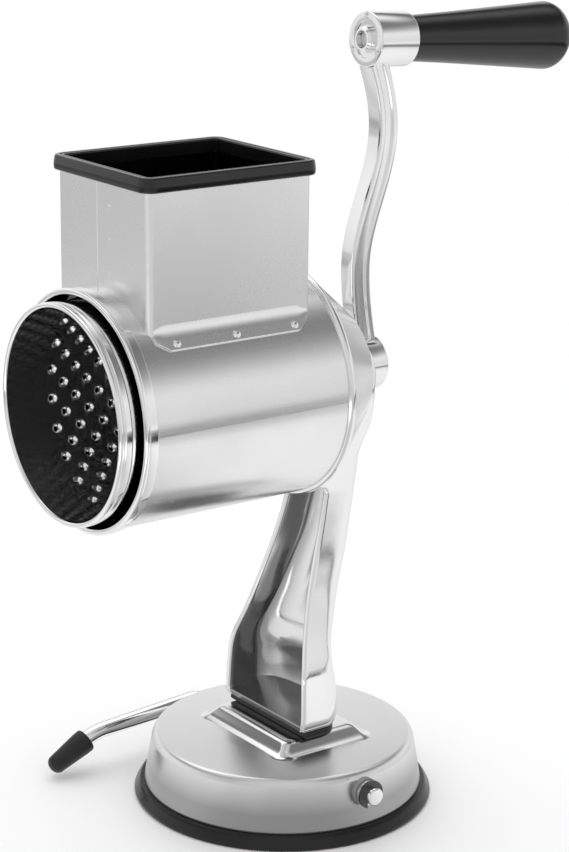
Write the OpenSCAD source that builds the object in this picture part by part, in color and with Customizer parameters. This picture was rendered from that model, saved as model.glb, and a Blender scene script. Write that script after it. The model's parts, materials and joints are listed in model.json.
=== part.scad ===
// Rotary cabbage shredder: a hand cranked rasp drum in a tube under a hopper, on a suction base.
// Millimetres. Z is up from the counter, the drum's axis runs along Y and its mouth faces -Y.

/* [Suction cup] */
// Width of the rubber cup's ring outside the dome
cup_out = 4.3; // [4:0.1:5.6]
// Height of the cup's outer ring
cup_h = 5.6; // [5:0.1:6.2]
// Height of the widest line of the ring above the counter
cup_foot = 1.2; // [0.8:0.1:1.6]
// Slope of the ring's outside, from its widest line to its top
cup_slope = 2; // [1.2:0.1:2.6]
// Thickness of the cup's flat membrane
membrane = 2.4; // [1.8:0.1:2.8]
// Radius of the raised middle of the membrane
cup_boss_r = 19; // [18.5:0.1:21]
// Height of the raised middle of the membrane
cup_boss_h = 4; // [3.6:0.1:4.4]
// Depth and width of the sealing grooves under the cup
seal_groove = 0.8; // [0.5:0.1:1.2]
// Distance of the inner sealing groove inside the dome's edge
seal_inset = 11.2; // [8.2:0.2:14]

/* [Base dome] */
// Outside radius of the dome at its lower edge
dome_r = 58.2; // [57.8:0.1:59]
// How far the dome's side leans in towards its top
dome_lean = 3.4; // [2.6:0.1:4]
// Height of the dome's shoulder above the counter
dome_top = 27.4; // [26.8:0.1:28]
// Rise of the dome's crown above its shoulder
dome_crown = 1; // [0.6:0.1:1.4]
// Radius of the dome's rounded shoulder
dome_edge = 3; // [2:0.1:3.6]
// Wall of the dome
dome_wall = 2.6; // [2.2:0.1:3]
// Half of the pad's width across, at its foot
pad_half = 29; // [28:0.1:31]
// Half of the pad's depth, at its foot
pad_deep = 22.2; // [21.5:0.1:24]
// Distance of the pad's middle behind the dome's middle
pad_back = 1.2; // [0.6:0.1:1.8]
// Height of the pad's flat top above the counter
pad_top = 33; // [32.6:0.1:33.4]
// Width of the bevel round the pad
pad_bevel = 5; // [4:0.1:5.6]
// Corner radius of the pad
pad_corner = 2.6; // [1.5:0.1:4]

/* [Lever] */
// Height of the lever's axle above the counter
axle_z = 19.3; // [19:0.1:19.6]
// Radius of the lever's rod, which is also the axle
rod_r = 3.6; // [3.4:0.05:3.7]
// Distance of the lever's arm outside the dome
arm_out = 4.4; // [4:0.1:5.6]
// Radius of the corner between axle and arm
arm_corner_r = 4.8; // [4.5:0.1:5]
// Length of the arm's straight run
arm_run = 45; // [40:0.5:48]
// Slope of the arm's straight run
arm_slope = 4; // [3:0.5:5]
// Radius of the arm's downward curve
tail_curve_r = 22; // [18:0.5:26]
// Slope of the arm's tail inside the grip
tail_slope = 27; // [22:0.5:28]
// Length of the lever's grip
lever_grip_long = 20.5; // [18:0.5:21]
// Radius of the lever grip's wide end
lever_grip_r = 5.2; // [5:0.1:5.6]
// Radius of the lever grip's tip
lever_tip_r = 4.1; // [4:0.1:4.4]
// Reach of the axle outside the dome, on the clip's side
axle_out = 5.8; // [5.5:0.1:6.8]
// Outside radius of the clip on the axle
clip_r = 5.8; // [5.6:0.1:6.2]
// Thickness of the clip
clip_thick = 1.1; // [0.9:0.1:1.2]

/* [Suction lift] */
// Offset of the eccentric from the axle
cam_offset = 1.6; // [1.4:0.05:1.7]
// Radius of the eccentric
cam_r = 6.2; // [6.1:0.05:6.3]
// Width of the eccentric along the axle
cam_wide = 9; // [8.6:0.1:9.4]
// Free space between the eccentric and its frame
cam_free = 0.8; // [0.7:0.05:0.9]
// Bar thickness of the frame round the eccentric
yoke_bar = 2.4; // [2.2:0.1:2.5]
// Width of the frame along the axle
yoke_wide = 8; // [7.6:0.1:8.2]
// Radius of the suction plate
plate_r = 17; // [15:0.1:18]
// Thickness of the suction plate
plate_thick = 1.6; // [1.4:0.1:1.8]
// Radius of the frame's neck
neck_r = 5; // [4.6:0.1:6]

/* [Stand] */
// Thickness of the plinth between pad and stand
plinth_h = 3.2; // [3:0.1:3.4]
// Inset of the plinth from the stand's outline
plinth_inset = 0.9; // [0.6:0.1:1.4]
// Half width of the stand's foot
foot_half = 28.1; // [27.6:0.1:29]
// Depth of the stand's foot from front to back
foot_deep = 24.8; // [24.4:0.1:25.2]
// Distance of the foot's front edge before the middle plane
foot_front = 10.4; // [10:0.1:10.8]
// Lean of the column, from its foot to the hub
stand_lean = 23.4; // [22.8:0.1:24]
// Wall of the column and its flanges
stand_wall = 2.7; // [2.4:0.1:3]
// Thickness of the foot's floor at its front
floor_front = 2.2; // [2:0.1:2.6]
// Thickness of the foot's floor at its back
floor_back = 6.6; // [6.2:0.1:7]
// Radius of the screws that hold the stand
screw_r = 2.5; // [2.3:0.1:2.6]
// Distance of each screw from the middle plane
screw_x = 15; // [14:0.1:17]
// Distance of the screws behind the middle of the dome
screw_y = 9; // [8.6:0.1:9.4]

/* [Housing] */
// Height of the drum's axis above the counter
axis_z = 180.4; // [180:0.1:181]
// Outside radius of the housing tube
tube_r = 46.4; // [46.2:0.1:46.6]
// Wall of the housing tube and hopper sheet
sheet = 0.9; // [0.8:0.05:1]
// Distance of the tube's mouth before the middle of the base
mouth_y = 97.8; // [97.4:0.1:98.4]
// Length of the mouth's polished collar
collar_long = 5.2; // [4.8:0.1:5.6]
// Height of the collar above the tube
collar_rise = 1.2; // [1:0.1:1.4]
// Distance of the bell's rim before the middle of the base
rim_y = 4.2; // [4:0.1:4.4]
// Rise of the bell's rim above the tube
rim_rise = 1.5; // [1.3:0.1:1.8]
// Width of the bell's rim along the drum's axis
rim_wide = 3.3; // [3.2:0.1:3.5]
// Depth that the tube goes into the rim
tube_socket = 2; // [1.8:0.1:2.2]
// How far the bell's cone comes in from the tube's radius to its back
bell_narrow = 20; // [19.6:0.1:20.4]
// Depth of the bell's cone behind the rim
bell_deep = 23.6; // [23.2:0.1:24]
// Height of the cone's outward swell
bell_swell = 0.2; // [0.1:0.05:0.4]
// Radius of the turn between cone and back
bell_turn_r = 9; // [8:0.1:9.6]
// Wall of the bell
bell_wall = 3; // [2.6:0.1:3.2]
// Radius of the hub behind the bell
hub_r = 13.6; // [13.4:0.1:14.4]
// Distance of the hub's back face behind the middle of the base
hub_y = 30.6; // [30.4:0.1:30.8]
// Distance of the hub's front face behind the middle of the base
hub_front = 14.6; // [14.4:0.1:15]

/* [Hopper] */
// Half width of the hopper
hopper_half = 31.7; // [31.2:0.1:32]
// Distance of the hopper's front wall before the middle of the base
hopper_front = 87; // [86.6:0.1:87.4]
// Distance of the hopper's back wall before the middle of the base
hopper_back = 12.5; // [12:0.1:13]
// Height of the hopper's sheet above the counter
hopper_top = 271.8; // [270:0.1:272.4]
// Corner radius of the hopper
hopper_corner = 3; // [2.4:0.1:3.6]
// Length of the side flaps along the tube, in degrees round it
flap_turn = 8; // [7:0.5:8.5]
// Length of the chamfer at each end of a flap
flap_chamfer = 6.8; // [6:0.1:7.4]
// Radius of the flap rivets' heads
rivet_r = 2; // [1.8:0.1:2.2]
// Height of the flap rivets' heads
rivet_h = 1; // [0.8:0.1:1.2]
// Distance of the end rivets from the hopper's middle
rivet_reach = 27; // [26:0.1:27.6]
// Height of the black trim round the hopper's mouth
trim_h = 5.8; // [5.4:0.1:6.2]
// Width that the trim stands out from the hopper
trim_out = 2.6; // [2.2:0.1:3]
// Width that the trim stands in from the hopper's sheet
trim_in = 0.9; // [0.6:0.1:1.2]
// Depth of the sheet's edge in the trim
trim_grip = 3.4; // [3:0.1:3.8]
// Width of the seam line and depth of the seam and weld marks in the hopper's front
seam_wide = 0.4; // [0.3:0.05:0.5]
// Distance of the seam from the middle plane
seam_x = 2.8; // [2:0.1:3.6]
// Distance of the weld marks from the middle plane
weld_x = 5.3; // [4.6:0.1:6]
// Radius of a weld mark
weld_r = 1.3; // [1:0.1:1.5]
// Height of the lowest weld mark above the counter
weld_z = 233.5; // [232:0.5:235]
// Spacing of the weld marks
weld_pitch = 12.7; // [12:0.1:13.4]

/* [Drum] */
// Free space between the tube and the drum
drum_space = 3; // [2.8:0.1:3.2]
// Wall of the drum shell
drum_wall = 0.8; // [0.7:0.05:0.9]
// Distance of the drum's front edge before the middle of the base
drum_front_y = 106.8; // [106.4:0.1:107.4]
// Width of the drum's front band
band_wide = 5.8; // [5.4:0.1:6.2]
// Rise of the drum's front band above the shell
band_rise = 0.6; // [0.5:0.05:0.8]
// Radius of the bead at the drum's front edge
bead_r = 1.1; // [1:0.05:1.2]
// Radius of a rasp hole
rasp_r = 1.4; // [1.2:0.05:1.5]
// Spacing of the rasp rows along the drum
rasp_pitch = 5.4; // [5.2:0.1:5.4]
// Rasp holes round the drum in each row
rasp_count = 22; // [18:1:22]
// Rows of rasp holes
rasp_rows = 14; // [10:1:14]
// Distance of the first row from the drum's front edge
rasp_start = 21.8; // [21:0.1:22]
// Thickness of the drum's back disc
disc_thick = 2; // [1.8:0.1:2.2]
// Width of the back disc's turned edge
disc_edge = 8; // [7:0.1:9]
// Radius of the back disc's hub
disc_hub_r = 10; // [9.6:0.1:10.4]
// Rivets between back disc and shell
disc_rivets = 8; // [6:1:10]
// Radius of the drive shaft
shaft_r = 5; // [4.8:0.05:5.1]
// Wall of the shaft bushes
bush_wall = 2; // [1.8:0.1:2.2]
// Radius of the nut that holds the drum, across its flats
nut_r = 8; // [7.6:0.1:8.4]
// Thickness of that nut
nut_thick = 6; // [5.6:0.1:6.4]

/* [Crank] */
// Distance between the drum's axis and the handle's axis
crank_long = 132.6; // [131:0.1:134]
// Radius of the crank's lower boss
low_boss_r = 11.3; // [11:0.1:11.6]
// Length of the crank's lower boss
low_boss_long = 12; // [11.6:0.1:12.4]
// Radius of the crank's upper boss
top_boss_r = 11; // [10.8:0.1:11.3]
// Length of the crank's upper boss
top_boss_long = 19.4; // [19:0.1:19.8]
// Distance of the upper boss's front face behind the middle of the base
top_boss_y = 36.7; // [36.4:0.1:37]
// Distance of the arm's middle line behind the middle of the base
arm_mid_y = 40.3; // [40:0.1:40.6]
// Height of the arm's curve to each side of that line
arm_wave_deep = 6.4; // [5.8:0.1:7]
// Height of the middle of the arm's curve above the drum's axis
arm_mid_up = 68.6; // [68:0.1:69.2]
// Length of one full wave of the arm's curve
arm_wave_long = 113; // [112:0.5:114]
// Width of the crank arm across
arm_wide = 8.5; // [8:0.1:9]
// Depth of the crank arm along the drum's axis
arm_thick = 9.2; // [8.8:0.1:9.6]
// Radius of the arm's rounded edges
arm_edge = 1.6; // [1.2:0.1:1.8]
// Width of the groove along each side of the arm
groove_wide = 3.8; // [3.4:0.1:4.2]
// Depth of the groove along each side of the arm
groove_deep = 0.9; // [0.6:0.1:1.2]
// Droop of the handle's axis from the drum's axis
droop = 2.5; // [2.1:0.1:2.9]

/* [Handle] */
// Outside radius of the hollow handle pin in the boss
pin_r = 5.2; // [5:0.1:5.5]
// Radius of the hollow in the pin
pin_bore = 3.5; // [3.2:0.1:3.7]
// How far the pin stands out of the boss's front face
pin_proud = 2; // [1.6:0.1:2.4]
// Radius of the pin inside the grip
pin_thin = 4.6; // [4.4:0.1:4.8]
// Length of the pin past the boss
pin_long = 60; // [58:0.5:61]
// Radius of the pin's head inside the grip
pin_head_r = 6.2; // [6:0.1:6.4]
// Radius of the counterbore in the boss's front face
stake_r = 7.4; // [7:0.1:7.6]
// Depth of that counterbore
stake_deep = 0.8; // [0.6:0.1:1]
// Radius of the three staking dimples
dimple_r = 1.4; // [1.2:0.1:1.5]
// Distance of the staking dimples from the pin's axis
dimple_reach = 9.2; // [9:0.1:9.4]
// Thickness of the washer between boss and grip
washer_thick = 0.9; // [0.8:0.1:1]
// Length of the grip
grip_long = 84; // [82:0.2:86]
// Radius of the grip at the boss
grip_r = 9.1; // [8.9:0.1:9.5]
// Largest radius of the grip
grip_big_r = 14.1; // [13.6:0.1:14.6]
// Length of the grip's domed end
grip_dome = 10.4; // [10:0.2:11.4]
// Radius of the grip's hollow
grip_bore = 6.8; // [6.7:0.1:7]
// Length of the bush inside the grip
core_long = 56; // [54:0.5:57]

/* [Fits] */
// Radial running clearance of a shaft in its bush
run_gap = 0.06; // [0.04:0.01:0.09]
// Free gap between pieces that pass each other
free_gap = 0.4; // [0.32:0.02:0.5]
// Width of a broken edge
edge_break = 0.5; // [0.4:0.05:0.6]
// Overrun of every cut
over = 1; // [0.5:0.1:2]

/* [Hidden] */
$fn = 64;

steel = [0.72, 0.73, 0.75];
bright = [0.82, 0.83, 0.85];
black = [0.05, 0.05, 0.055];
rubber = [0.07, 0.07, 0.075];
bronze = [0.66, 0.5, 0.3];

// Base
dome_foot = cup_h;
cup_r = dome_r + cup_out;
seal_r = dome_r - seal_inset;
arm_x = dome_r + arm_out;
axle_end = dome_r + axle_out;
dome_shoulder_r = dome_r - dome_lean;
roof = dome_top - dome_wall;
lift = 2 * cam_offset;
cam_z = axle_z - cam_offset;
window_low = cam_z - cam_r - cam_free;
window_top = cam_z + cam_r + cam_free;
window_half = cam_r + cam_offset + cam_free;
yoke_low = window_low - yoke_bar;
yoke_top = window_top + yoke_bar;
yoke_half = window_half + yoke_bar;
pocket_top = yoke_top + lift + free_gap;
bush_bore = rod_r + run_gap;
tail_r = 0.75 * rod_r;
bush_r = bush_bore + bush_wall;
bush_flange = bush_wall / 2;
boss_r = bush_r + bush_wall;
boss_deep = 3 * bush_wall;
bush_in = dome_shoulder_r - boss_deep;
bush_out = dome_r - bush_wall / 2;
head_r = 1.7 * screw_r;
head_h = 1.3 * screw_r;
tall_washer = 0.4 * screw_r;
screw_washer_r = 2 * screw_r;

// Stand: rows of the column from foot to hub
foot_z = pad_top + plinth_h;
stand_rise = axis_z - foot_z;
rise_share = [0, 0.006, 0.014, 0.024, 0.05, 0.09, 0.125, 0.155, 0.175, 0.2, 0.23, 0.265, 0.31, 0.37,
    0.43, 0.5, 0.58, 0.637, 0.68, 0.695, 0.72, 0.76, 0.803, 0.845, 0.886, 0.928, 0.969, 1.011, 1.053,
    1.087, 1.119, 1.143];
half_share = [0.936, 0.968, 0.989, 1, 1, 0.992, 0.98, 0.967, 0.95, 0.92, 0.865, 0.803, 0.736, 0.665,
    0.61, 0.555, 0.515, 0.495, 0.488, 0.512, 0.548, 0.615, 0.676, 0.745, 0.818, 0.865, 0.877, 0.84, 0.77,
    0.67, 0.54, 0.36];
lean_share = [0.03, 0.012, 0.002, 0, 0.009, 0.016, 0.024, 0.037, 0.054, 0.085, 0.138, 0.203, 0.285,
    0.39, 0.504, 0.64, 0.782, 0.86, 0.885, 0.556, 0.658, 0.872, 1.085, 1.214, 1.256, 1.256, 1.256, 1.256,
    1.256, 1.214, 1.171, 1.128];
deep_share = [0.94, 0.976, 0.992, 1, 1, 0.989, 0.97, 0.925, 0.895, 0.868, 0.841, 0.839, 0.844, 0.845,
    0.846, 0.838, 0.783, 0.758, 0.754, 1.06, 0.96, 0.726, 0.509, 0.424, 0.383, 0.371, 0.379, 0.456,
    0.435, 0.427, 0.395, 0.343];
flange_share = 0.22;
bow_share = 0.5;
side_pull_share = 0.7;
back_pull_share = 0.6;
fuller_share = 0.24;
fuller_rise_share = 0.68;
bow_steps = 9;

// Housing
socket_y = tube_socket - rim_y;
rim_half = rim_wide / 2;
cone_y = rim_wide - rim_y;
tube_in = tube_r - sheet;
rim_r = tube_r + rim_rise;
bell_r = tube_r;
bell_neck_r = bell_r - bell_narrow;
bell_in = bell_wall * 0.72;
bell_steps = 8;
shaft_bore = shaft_r + run_gap;
hub_bush_r = shaft_bore + bush_wall;
trim_low = hopper_top - trim_grip;
hopper_mid = (hopper_front + hopper_back) / 2;
flap_top_turn = acos(hopper_half / tube_r);
flap_low_turn = flap_top_turn - flap_turn;
flap_low_z = axis_z + tube_r * sin(flap_low_turn);
flap_top_z = axis_z + (tube_r + sheet) * sin(flap_top_turn) + sheet;
rivet_turn = flap_top_turn - 0.65 * flap_turn;

// Drum and crank
drum_r = tube_in - drum_space;
drum_in = drum_r - drum_wall;
disc_y = -rim_y + disc_thick;
disc_hub_y = hub_front - bush_flange - free_gap;
crank_y = hub_y + free_gap + washer_thick;
crank_back = crank_y + low_boss_long;
crank_screw_r = shaft_r / 2;
crank_head_r = 1.1 * shaft_r;
crank_head_h = 0.7 * shaft_r;
shaft_end = crank_back - crank_head_h - 2 * washer_thick;
arm_steps = 36;
arm_foot_share = 0.5;
core_gap = free_gap + washer_thick / 2;
core_bore = pin_thin + run_gap;

// A turned profile of [radius, place along Y] points, about the drum's axis
module turned(points) {
    translate([0, 0, axis_z])
        rotate([-90, 0, 0])
            rotate_extrude($fn = 128)
                polygon(points);
}

// Children that run up along Z, laid along Y on the drum's axis
module along_drum(y) {
    translate([0, y, axis_z])
        rotate([-90, 0, 0])
            children();
}

// Children that run up along Z, laid along X on the lever's axle
module along_axle(x) {
    translate([x, 0, axle_z])
        rotate([0, 90, 0])
            children();
}

// Children that run up along Z, laid along the handle's drooping axis from the upper boss's face
module along_handle(s) {
    translate([0, top_boss_y, axis_z + crank_long])
        rotate([-90 - droop, 0, 0])
            translate([0, 0, s])
                children();
}

module ring(outer, inner, long) {
    difference() {
        cylinder(r = outer, h = long);
        translate([0, 0, -over])
            cylinder(r = inner, h = long + 2 * over);
    }
}

// Points of an arc from angle a to angle b
function arc(x, y, rx, ry, a, b, n) = [for (i = [0:n])
    let (t = a + (b - a) * i / n) [x + rx * cos(t), y + ry * sin(t)]];

// A closed body through equal rings of points, from the lowest ring to the highest
module skin(rings) {
    n = len(rings[0]);
    m = len(rings);
    top = (m - 1) * n;
    low = [for (k = [0:n / 2 - 2]) each [[k, k + 1, n - 2 - k], [k, n - 2 - k, n - 1 - k]]];
    high = [for (f = low) [top + f[2], top + f[1], top + f[0]]];
    left = [for (s = [0:m - 2], i = [0:n - 1]) [s * n + i, (s + 1) * n + i, (s + 1) * n + (i + 1) % n]];
    right = [for (s = [0:m - 2], i = [0:n - 1]) [s * n + i, (s + 1) * n + (i + 1) % n, s * n + (i + 1) % n]];
    polyhedron(points = [for (r = rings) each r], faces = concat(low, left, right, high));
}

// A rectangle with round corners, from front to back
module rounded(half, front, back, corner) {
    translate([-half + corner, front])
        square([2 * (half - corner), back - front]);
    translate([-half, front + corner])
        square([2 * half, back - front - 2 * corner]);
    for (x = [-half + corner, half - corner], y = [front + corner, back - corner])
        translate([x, y])
            circle(r = corner, $fn = 48);
}

module dome_outside() {
    rotate_extrude($fn = 128)
        polygon(concat([[0, dome_foot], [dome_r, dome_foot]],
            arc(dome_shoulder_r - dome_edge + dome_lean / 8, dome_top - dome_edge,
            dome_edge, dome_edge, 8, 84, 8),
            [[pad_half, dome_top + dome_crown / 2], [0, dome_top + dome_crown / 2]]));
}

// The suction cup, with the dome seated on its ring and the plate on its raised middle
module suction_cup() {
    color(rubber)
        rotate_extrude($fn = 128)
            polygon([[0, 0], [seal_r, 0], [seal_r, seal_groove], [seal_r + seal_groove, seal_groove],
                [seal_r + seal_groove, 0], [seal_r + 4 * seal_groove, 0],
                [seal_r + 4 * seal_groove, seal_groove], [seal_r + 5 * seal_groove, seal_groove],
                [seal_r + 5 * seal_groove, 0],
                [cup_r - cup_foot / 2, 0], [cup_r, cup_foot / 2], [cup_r, cup_foot],
                [cup_r - cup_slope, cup_h - cup_foot / 2], [cup_r - cup_slope - cup_foot / 2, cup_h],
                [dome_r - dome_wall - edge_break, cup_h], [dome_r - dome_wall - edge_break, cup_h + cup_foot],
                [dome_r - 2 * dome_wall, cup_h + cup_foot], [dome_r - 3 * dome_wall, membrane],
                [cup_boss_r, membrane], [cup_boss_r, cup_boss_h], [0, cup_boss_h]]);
}

module suction_plate() {
    color(steel) {
        translate([0, 0, cup_boss_h])
            cylinder(r = plate_r, h = plate_thick);
        translate([0, 0, cup_boss_h + plate_thick])
            cylinder(r = neck_r / 2, h = plate_thick);
    }
}

// The frame round the eccentric, which lifts the plate
module suction_yoke() {
    neck_low = cup_boss_h + plate_thick;
    color(bright)
        difference() {
            union() {
                translate([0, 0, neck_low])
                    cylinder(r = neck_r, h = yoke_low - neck_low + yoke_bar / 2);
                translate([-yoke_wide / 2, -yoke_half, yoke_low])
                    cube([yoke_wide, 2 * yoke_half, yoke_top - yoke_low]);
            }
            translate([-yoke_wide, -window_half, window_low])
                cube([2 * yoke_wide, 2 * window_half, window_top - window_low]);
            translate([0, 0, neck_low - over])
                cylinder(r = neck_r / 2, h = plate_thick + over);
        }
}

// Base dome: cored underneath, with axle bosses, a beveled pad and a pocket for the frame's stroke
module base_dome() {
    pocket_x = cam_wide / 2 + free_gap;
    pocket_y = yoke_half + free_gap;
    color(steel)
        difference() {
            union() {
                dome_outside();
                hull()
                    for (k = [0, 1])
                        translate([0, pad_back, dome_top - over + k * (pad_top - dome_top)])
                            linear_extrude(height = over)
                                rounded(pad_half - k * pad_bevel, -pad_deep + k * pad_bevel,
                                    pad_deep - k * pad_bevel, pad_corner, $fn = 24);
            }
            difference() {
                translate([0, 0, dome_foot - over])
                    cylinder(r1 = dome_r - dome_wall, r2 = dome_shoulder_r - dome_wall,
                        h = roof - dome_foot + over, $fn = 128);
                for (m = [0, 1])
                    mirror([m, 0, 0])
                        along_axle(bush_in)
                            cylinder(r = boss_r, h = 2 * boss_deep);
            }
            translate([-pocket_x, -pocket_y, roof - over])
                cube([2 * pocket_x, 2 * pocket_y, pocket_top - roof + over]);
            for (m = [0, 1])
                mirror([m, 0, 0])
                    along_axle(bush_in - over)
                        cylinder(r = bush_r, h = 3 * boss_deep);
            for (x = [-screw_x, screw_x])
                translate([x, screw_y, roof - over])
                    cylinder(r = screw_r, h = pad_top - roof + 2 * over);
        }
}

module axle_bushes() {
    color(black)
        for (m = [0, 1])
            mirror([m, 0, 0])
                along_axle(bush_in)
                    ring(bush_r, bush_bore, bush_out - bush_in);
}

// A bent piece of the lever's rod
module bend(radius, angle) {
    rotate_extrude(angle = angle, $fn = 96)
        translate([radius, 0])
            circle(r = rod_r, $fn = 48);
}

// Children placed at the end of the arm's straight run, with Z along the run
module at_run(long) {
    translate([-arm_x, -arm_corner_r, axle_z])
        rotate([90 + arm_slope, 0, 0])
            translate([0, 0, long])
                children();
}

// Children placed where the tail leaves the downward bend, with Z along the tail
module at_tail() {
    at_run(arm_run)
        translate([0, -tail_curve_r, 0])
            rotate([tail_slope - arm_slope, 0, 0])
                translate([0, tail_curve_r, 0])
                    children();
}

// Lever: one rod that is the axle, bent into the arm
module lever_rod() {
    color(bright)
        difference() {
            union() {
                along_axle(-arm_x + arm_corner_r)
                    cylinder(r = rod_r, h = arm_x - arm_corner_r + axle_end);
                along_axle(-arm_x + arm_corner_r - rod_r / 3)
                    cylinder(r = tail_r, h = rod_r);
                translate([-arm_x + arm_corner_r, -arm_corner_r, axle_z])
                    rotate([0, 0, 90])
                        bend(arm_corner_r, 90);
                at_run(0)
                    cylinder(r = rod_r, h = arm_run);
                at_run(-rod_r / 3)
                    cylinder(r = tail_r, h = arm_run + rod_r * 2 / 3);
                at_run(arm_run)
                    translate([0, -tail_curve_r, 0])
                        rotate([90, 0, 90])
                            bend(tail_curve_r, tail_slope - arm_slope);
                at_tail()
                    translate([0, 0, -rod_r])
                        cylinder(r = tail_r, h = lever_grip_long - 2 * lever_tip_r + rod_r);
            }
            translate([0, 0, axle_z - cam_r])
                cylinder(r = rod_r / 3, h = 2 * cam_r);
            along_axle(axle_end - 4 * clip_thick)
                ring(rod_r + over, rod_r * 0.8, clip_thick);
        }
}

module lever_cam() {
    color(steel)
        difference() {
            along_axle(-cam_wide / 2)
                translate([cam_offset, 0, 0])
                    cylinder(r = cam_r, h = cam_wide);
            along_axle(-cam_wide)
                cylinder(r = rod_r, h = 2 * cam_wide);
            translate([0, 0, cam_z - cam_r - over])
                cylinder(r = rod_r / 3, h = 2 * cam_r + 2 * over);
        }
}

module cam_pin() {
    color(steel)
        translate([0, 0, cam_z - cam_r + edge_break])
            cylinder(r = rod_r / 3, h = 2 * cam_r - 2 * edge_break);
}

// The lever's tapered grip with a rounded tip
module lever_grip() {
    color(black)
        at_tail()
            difference() {
                rotate_extrude()
                    polygon(concat([[0, 0], [lever_grip_r - edge_break, 0], [lever_grip_r, edge_break]],
                        arc(0, lever_grip_long - lever_tip_r * 0.8, lever_tip_r, lever_tip_r * 0.8, 0, 90, 8)));
                translate([0, 0, -over])
                    cylinder(r = tail_r, h = lever_grip_long - 2 * lever_tip_r + over);
            }
}

// Clip in the axle's groove, open on one side
module axle_clip() {
    color(black)
        along_axle(axle_end - 4 * clip_thick)
            difference() {
                ring(clip_r, rod_r * 0.8, clip_thick);
                translate([0, -rod_r / 2, -over])
                    cube([clip_r + over, rod_r, clip_thick + 2 * over]);
            }
}

module axle_washer() {
    start = bush_out + free_gap;
    color(steel)
        along_axle(start)
            ring(bush_r - edge_break, rod_r, axle_end - 4 * clip_thick - start);
}

// One flange and bowed back of the column's outline, from the front edge to the middle of the back
function column_side(half, front, deep, wall, full = 0) = let (
    straight = front + max(flange_share * foot_deep, deep - bow_share * foot_deep),
    back = front + deep - wall,
    x = half - wall,
    pull = straight + (side_pull_share + full) * (back - straight))
    concat([[x, front]], [for (i = [0:bow_steps]) let (t = i / bow_steps, u = 1 - t)
        [u * u * u * x + 3 * u * u * t * x + 3 * u * t * t * (back_pull_share + full) * x,
        u * u * u * straight + 3 * u * u * t * pull + (3 * u * t * t + t * t * t) * back]]);

function mirrored(points) = [for (i = [len(points) - 1:-1:0]) [-points[i][0], points[i][1]]];

function column_outline(half, front, deep, wall, full = 0) = let (
    side = column_side(half, front, deep, wall, full))
    concat(side, [for (i = [1:len(side) - 1]) mirrored(side)[i]]);

function column_ring(i) = let (
    half = foot_half * half_share[i],
    front = -foot_front + stand_lean * lean_share[i],
    deep = foot_deep * deep_share[i],
    full = fuller_share * min(1, pow(rise_share[i] / fuller_rise_share, 4)),
    outside = column_outline(half, front, deep, 0, full),
    inside = column_outline(half, front, deep, stand_wall, full))
    [for (p = concat(outside, [for (k = [len(inside) - 1:-1:0]) inside[k]]))
        [p[0], p[1], foot_z + stand_rise * rise_share[i]]];

module foot_plinth() {
    outline = column_outline(foot_half, -foot_front, foot_deep, plinth_inset);
    color(black)
        translate([0, 0, pad_top])
            difference() {
                linear_extrude(height = plinth_h)
                    polygon([for (p = outline) [p[0], max(p[1], -foot_front + plinth_inset)]]);
                for (x = [-screw_x, screw_x])
                    translate([x, screw_y, -over])
                        cylinder(r = screw_r, h = plinth_h + 2 * over);
            }
}

module stand_screws() {
    color(steel)
        for (x = [-screw_x, screw_x])
            translate([x, screw_y, roof - tall_washer])
                difference() {
                    union() {
                        cylinder(r = screw_r, h = foot_z - roof + tall_washer + floor_back / 2);
                        translate([0, 0, -head_h])
                            cylinder(r = head_r, h = head_h);
                    }
                    translate([0, 0, -head_h - over])
                        cylinder(r = screw_r * 0.8, h = head_h / 2 + over, $fn = 6);
                }
}

module stand_washers() {
    color(steel)
        for (x = [-screw_x, screw_x])
            translate([x, screw_y, roof - tall_washer])
                ring(screw_washer_r, screw_r, tall_washer);
}

// The cone of the bell from its rim to its back, set in by a wall
function bell_line(inset) = [for (i = [0:bell_steps]) let (t = i / bell_steps)
    [bell_r + (bell_neck_r - bell_r) * t + 4 * bell_swell * t * (1 - t) - inset,
    cone_y + bell_deep * t - inset]];

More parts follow.
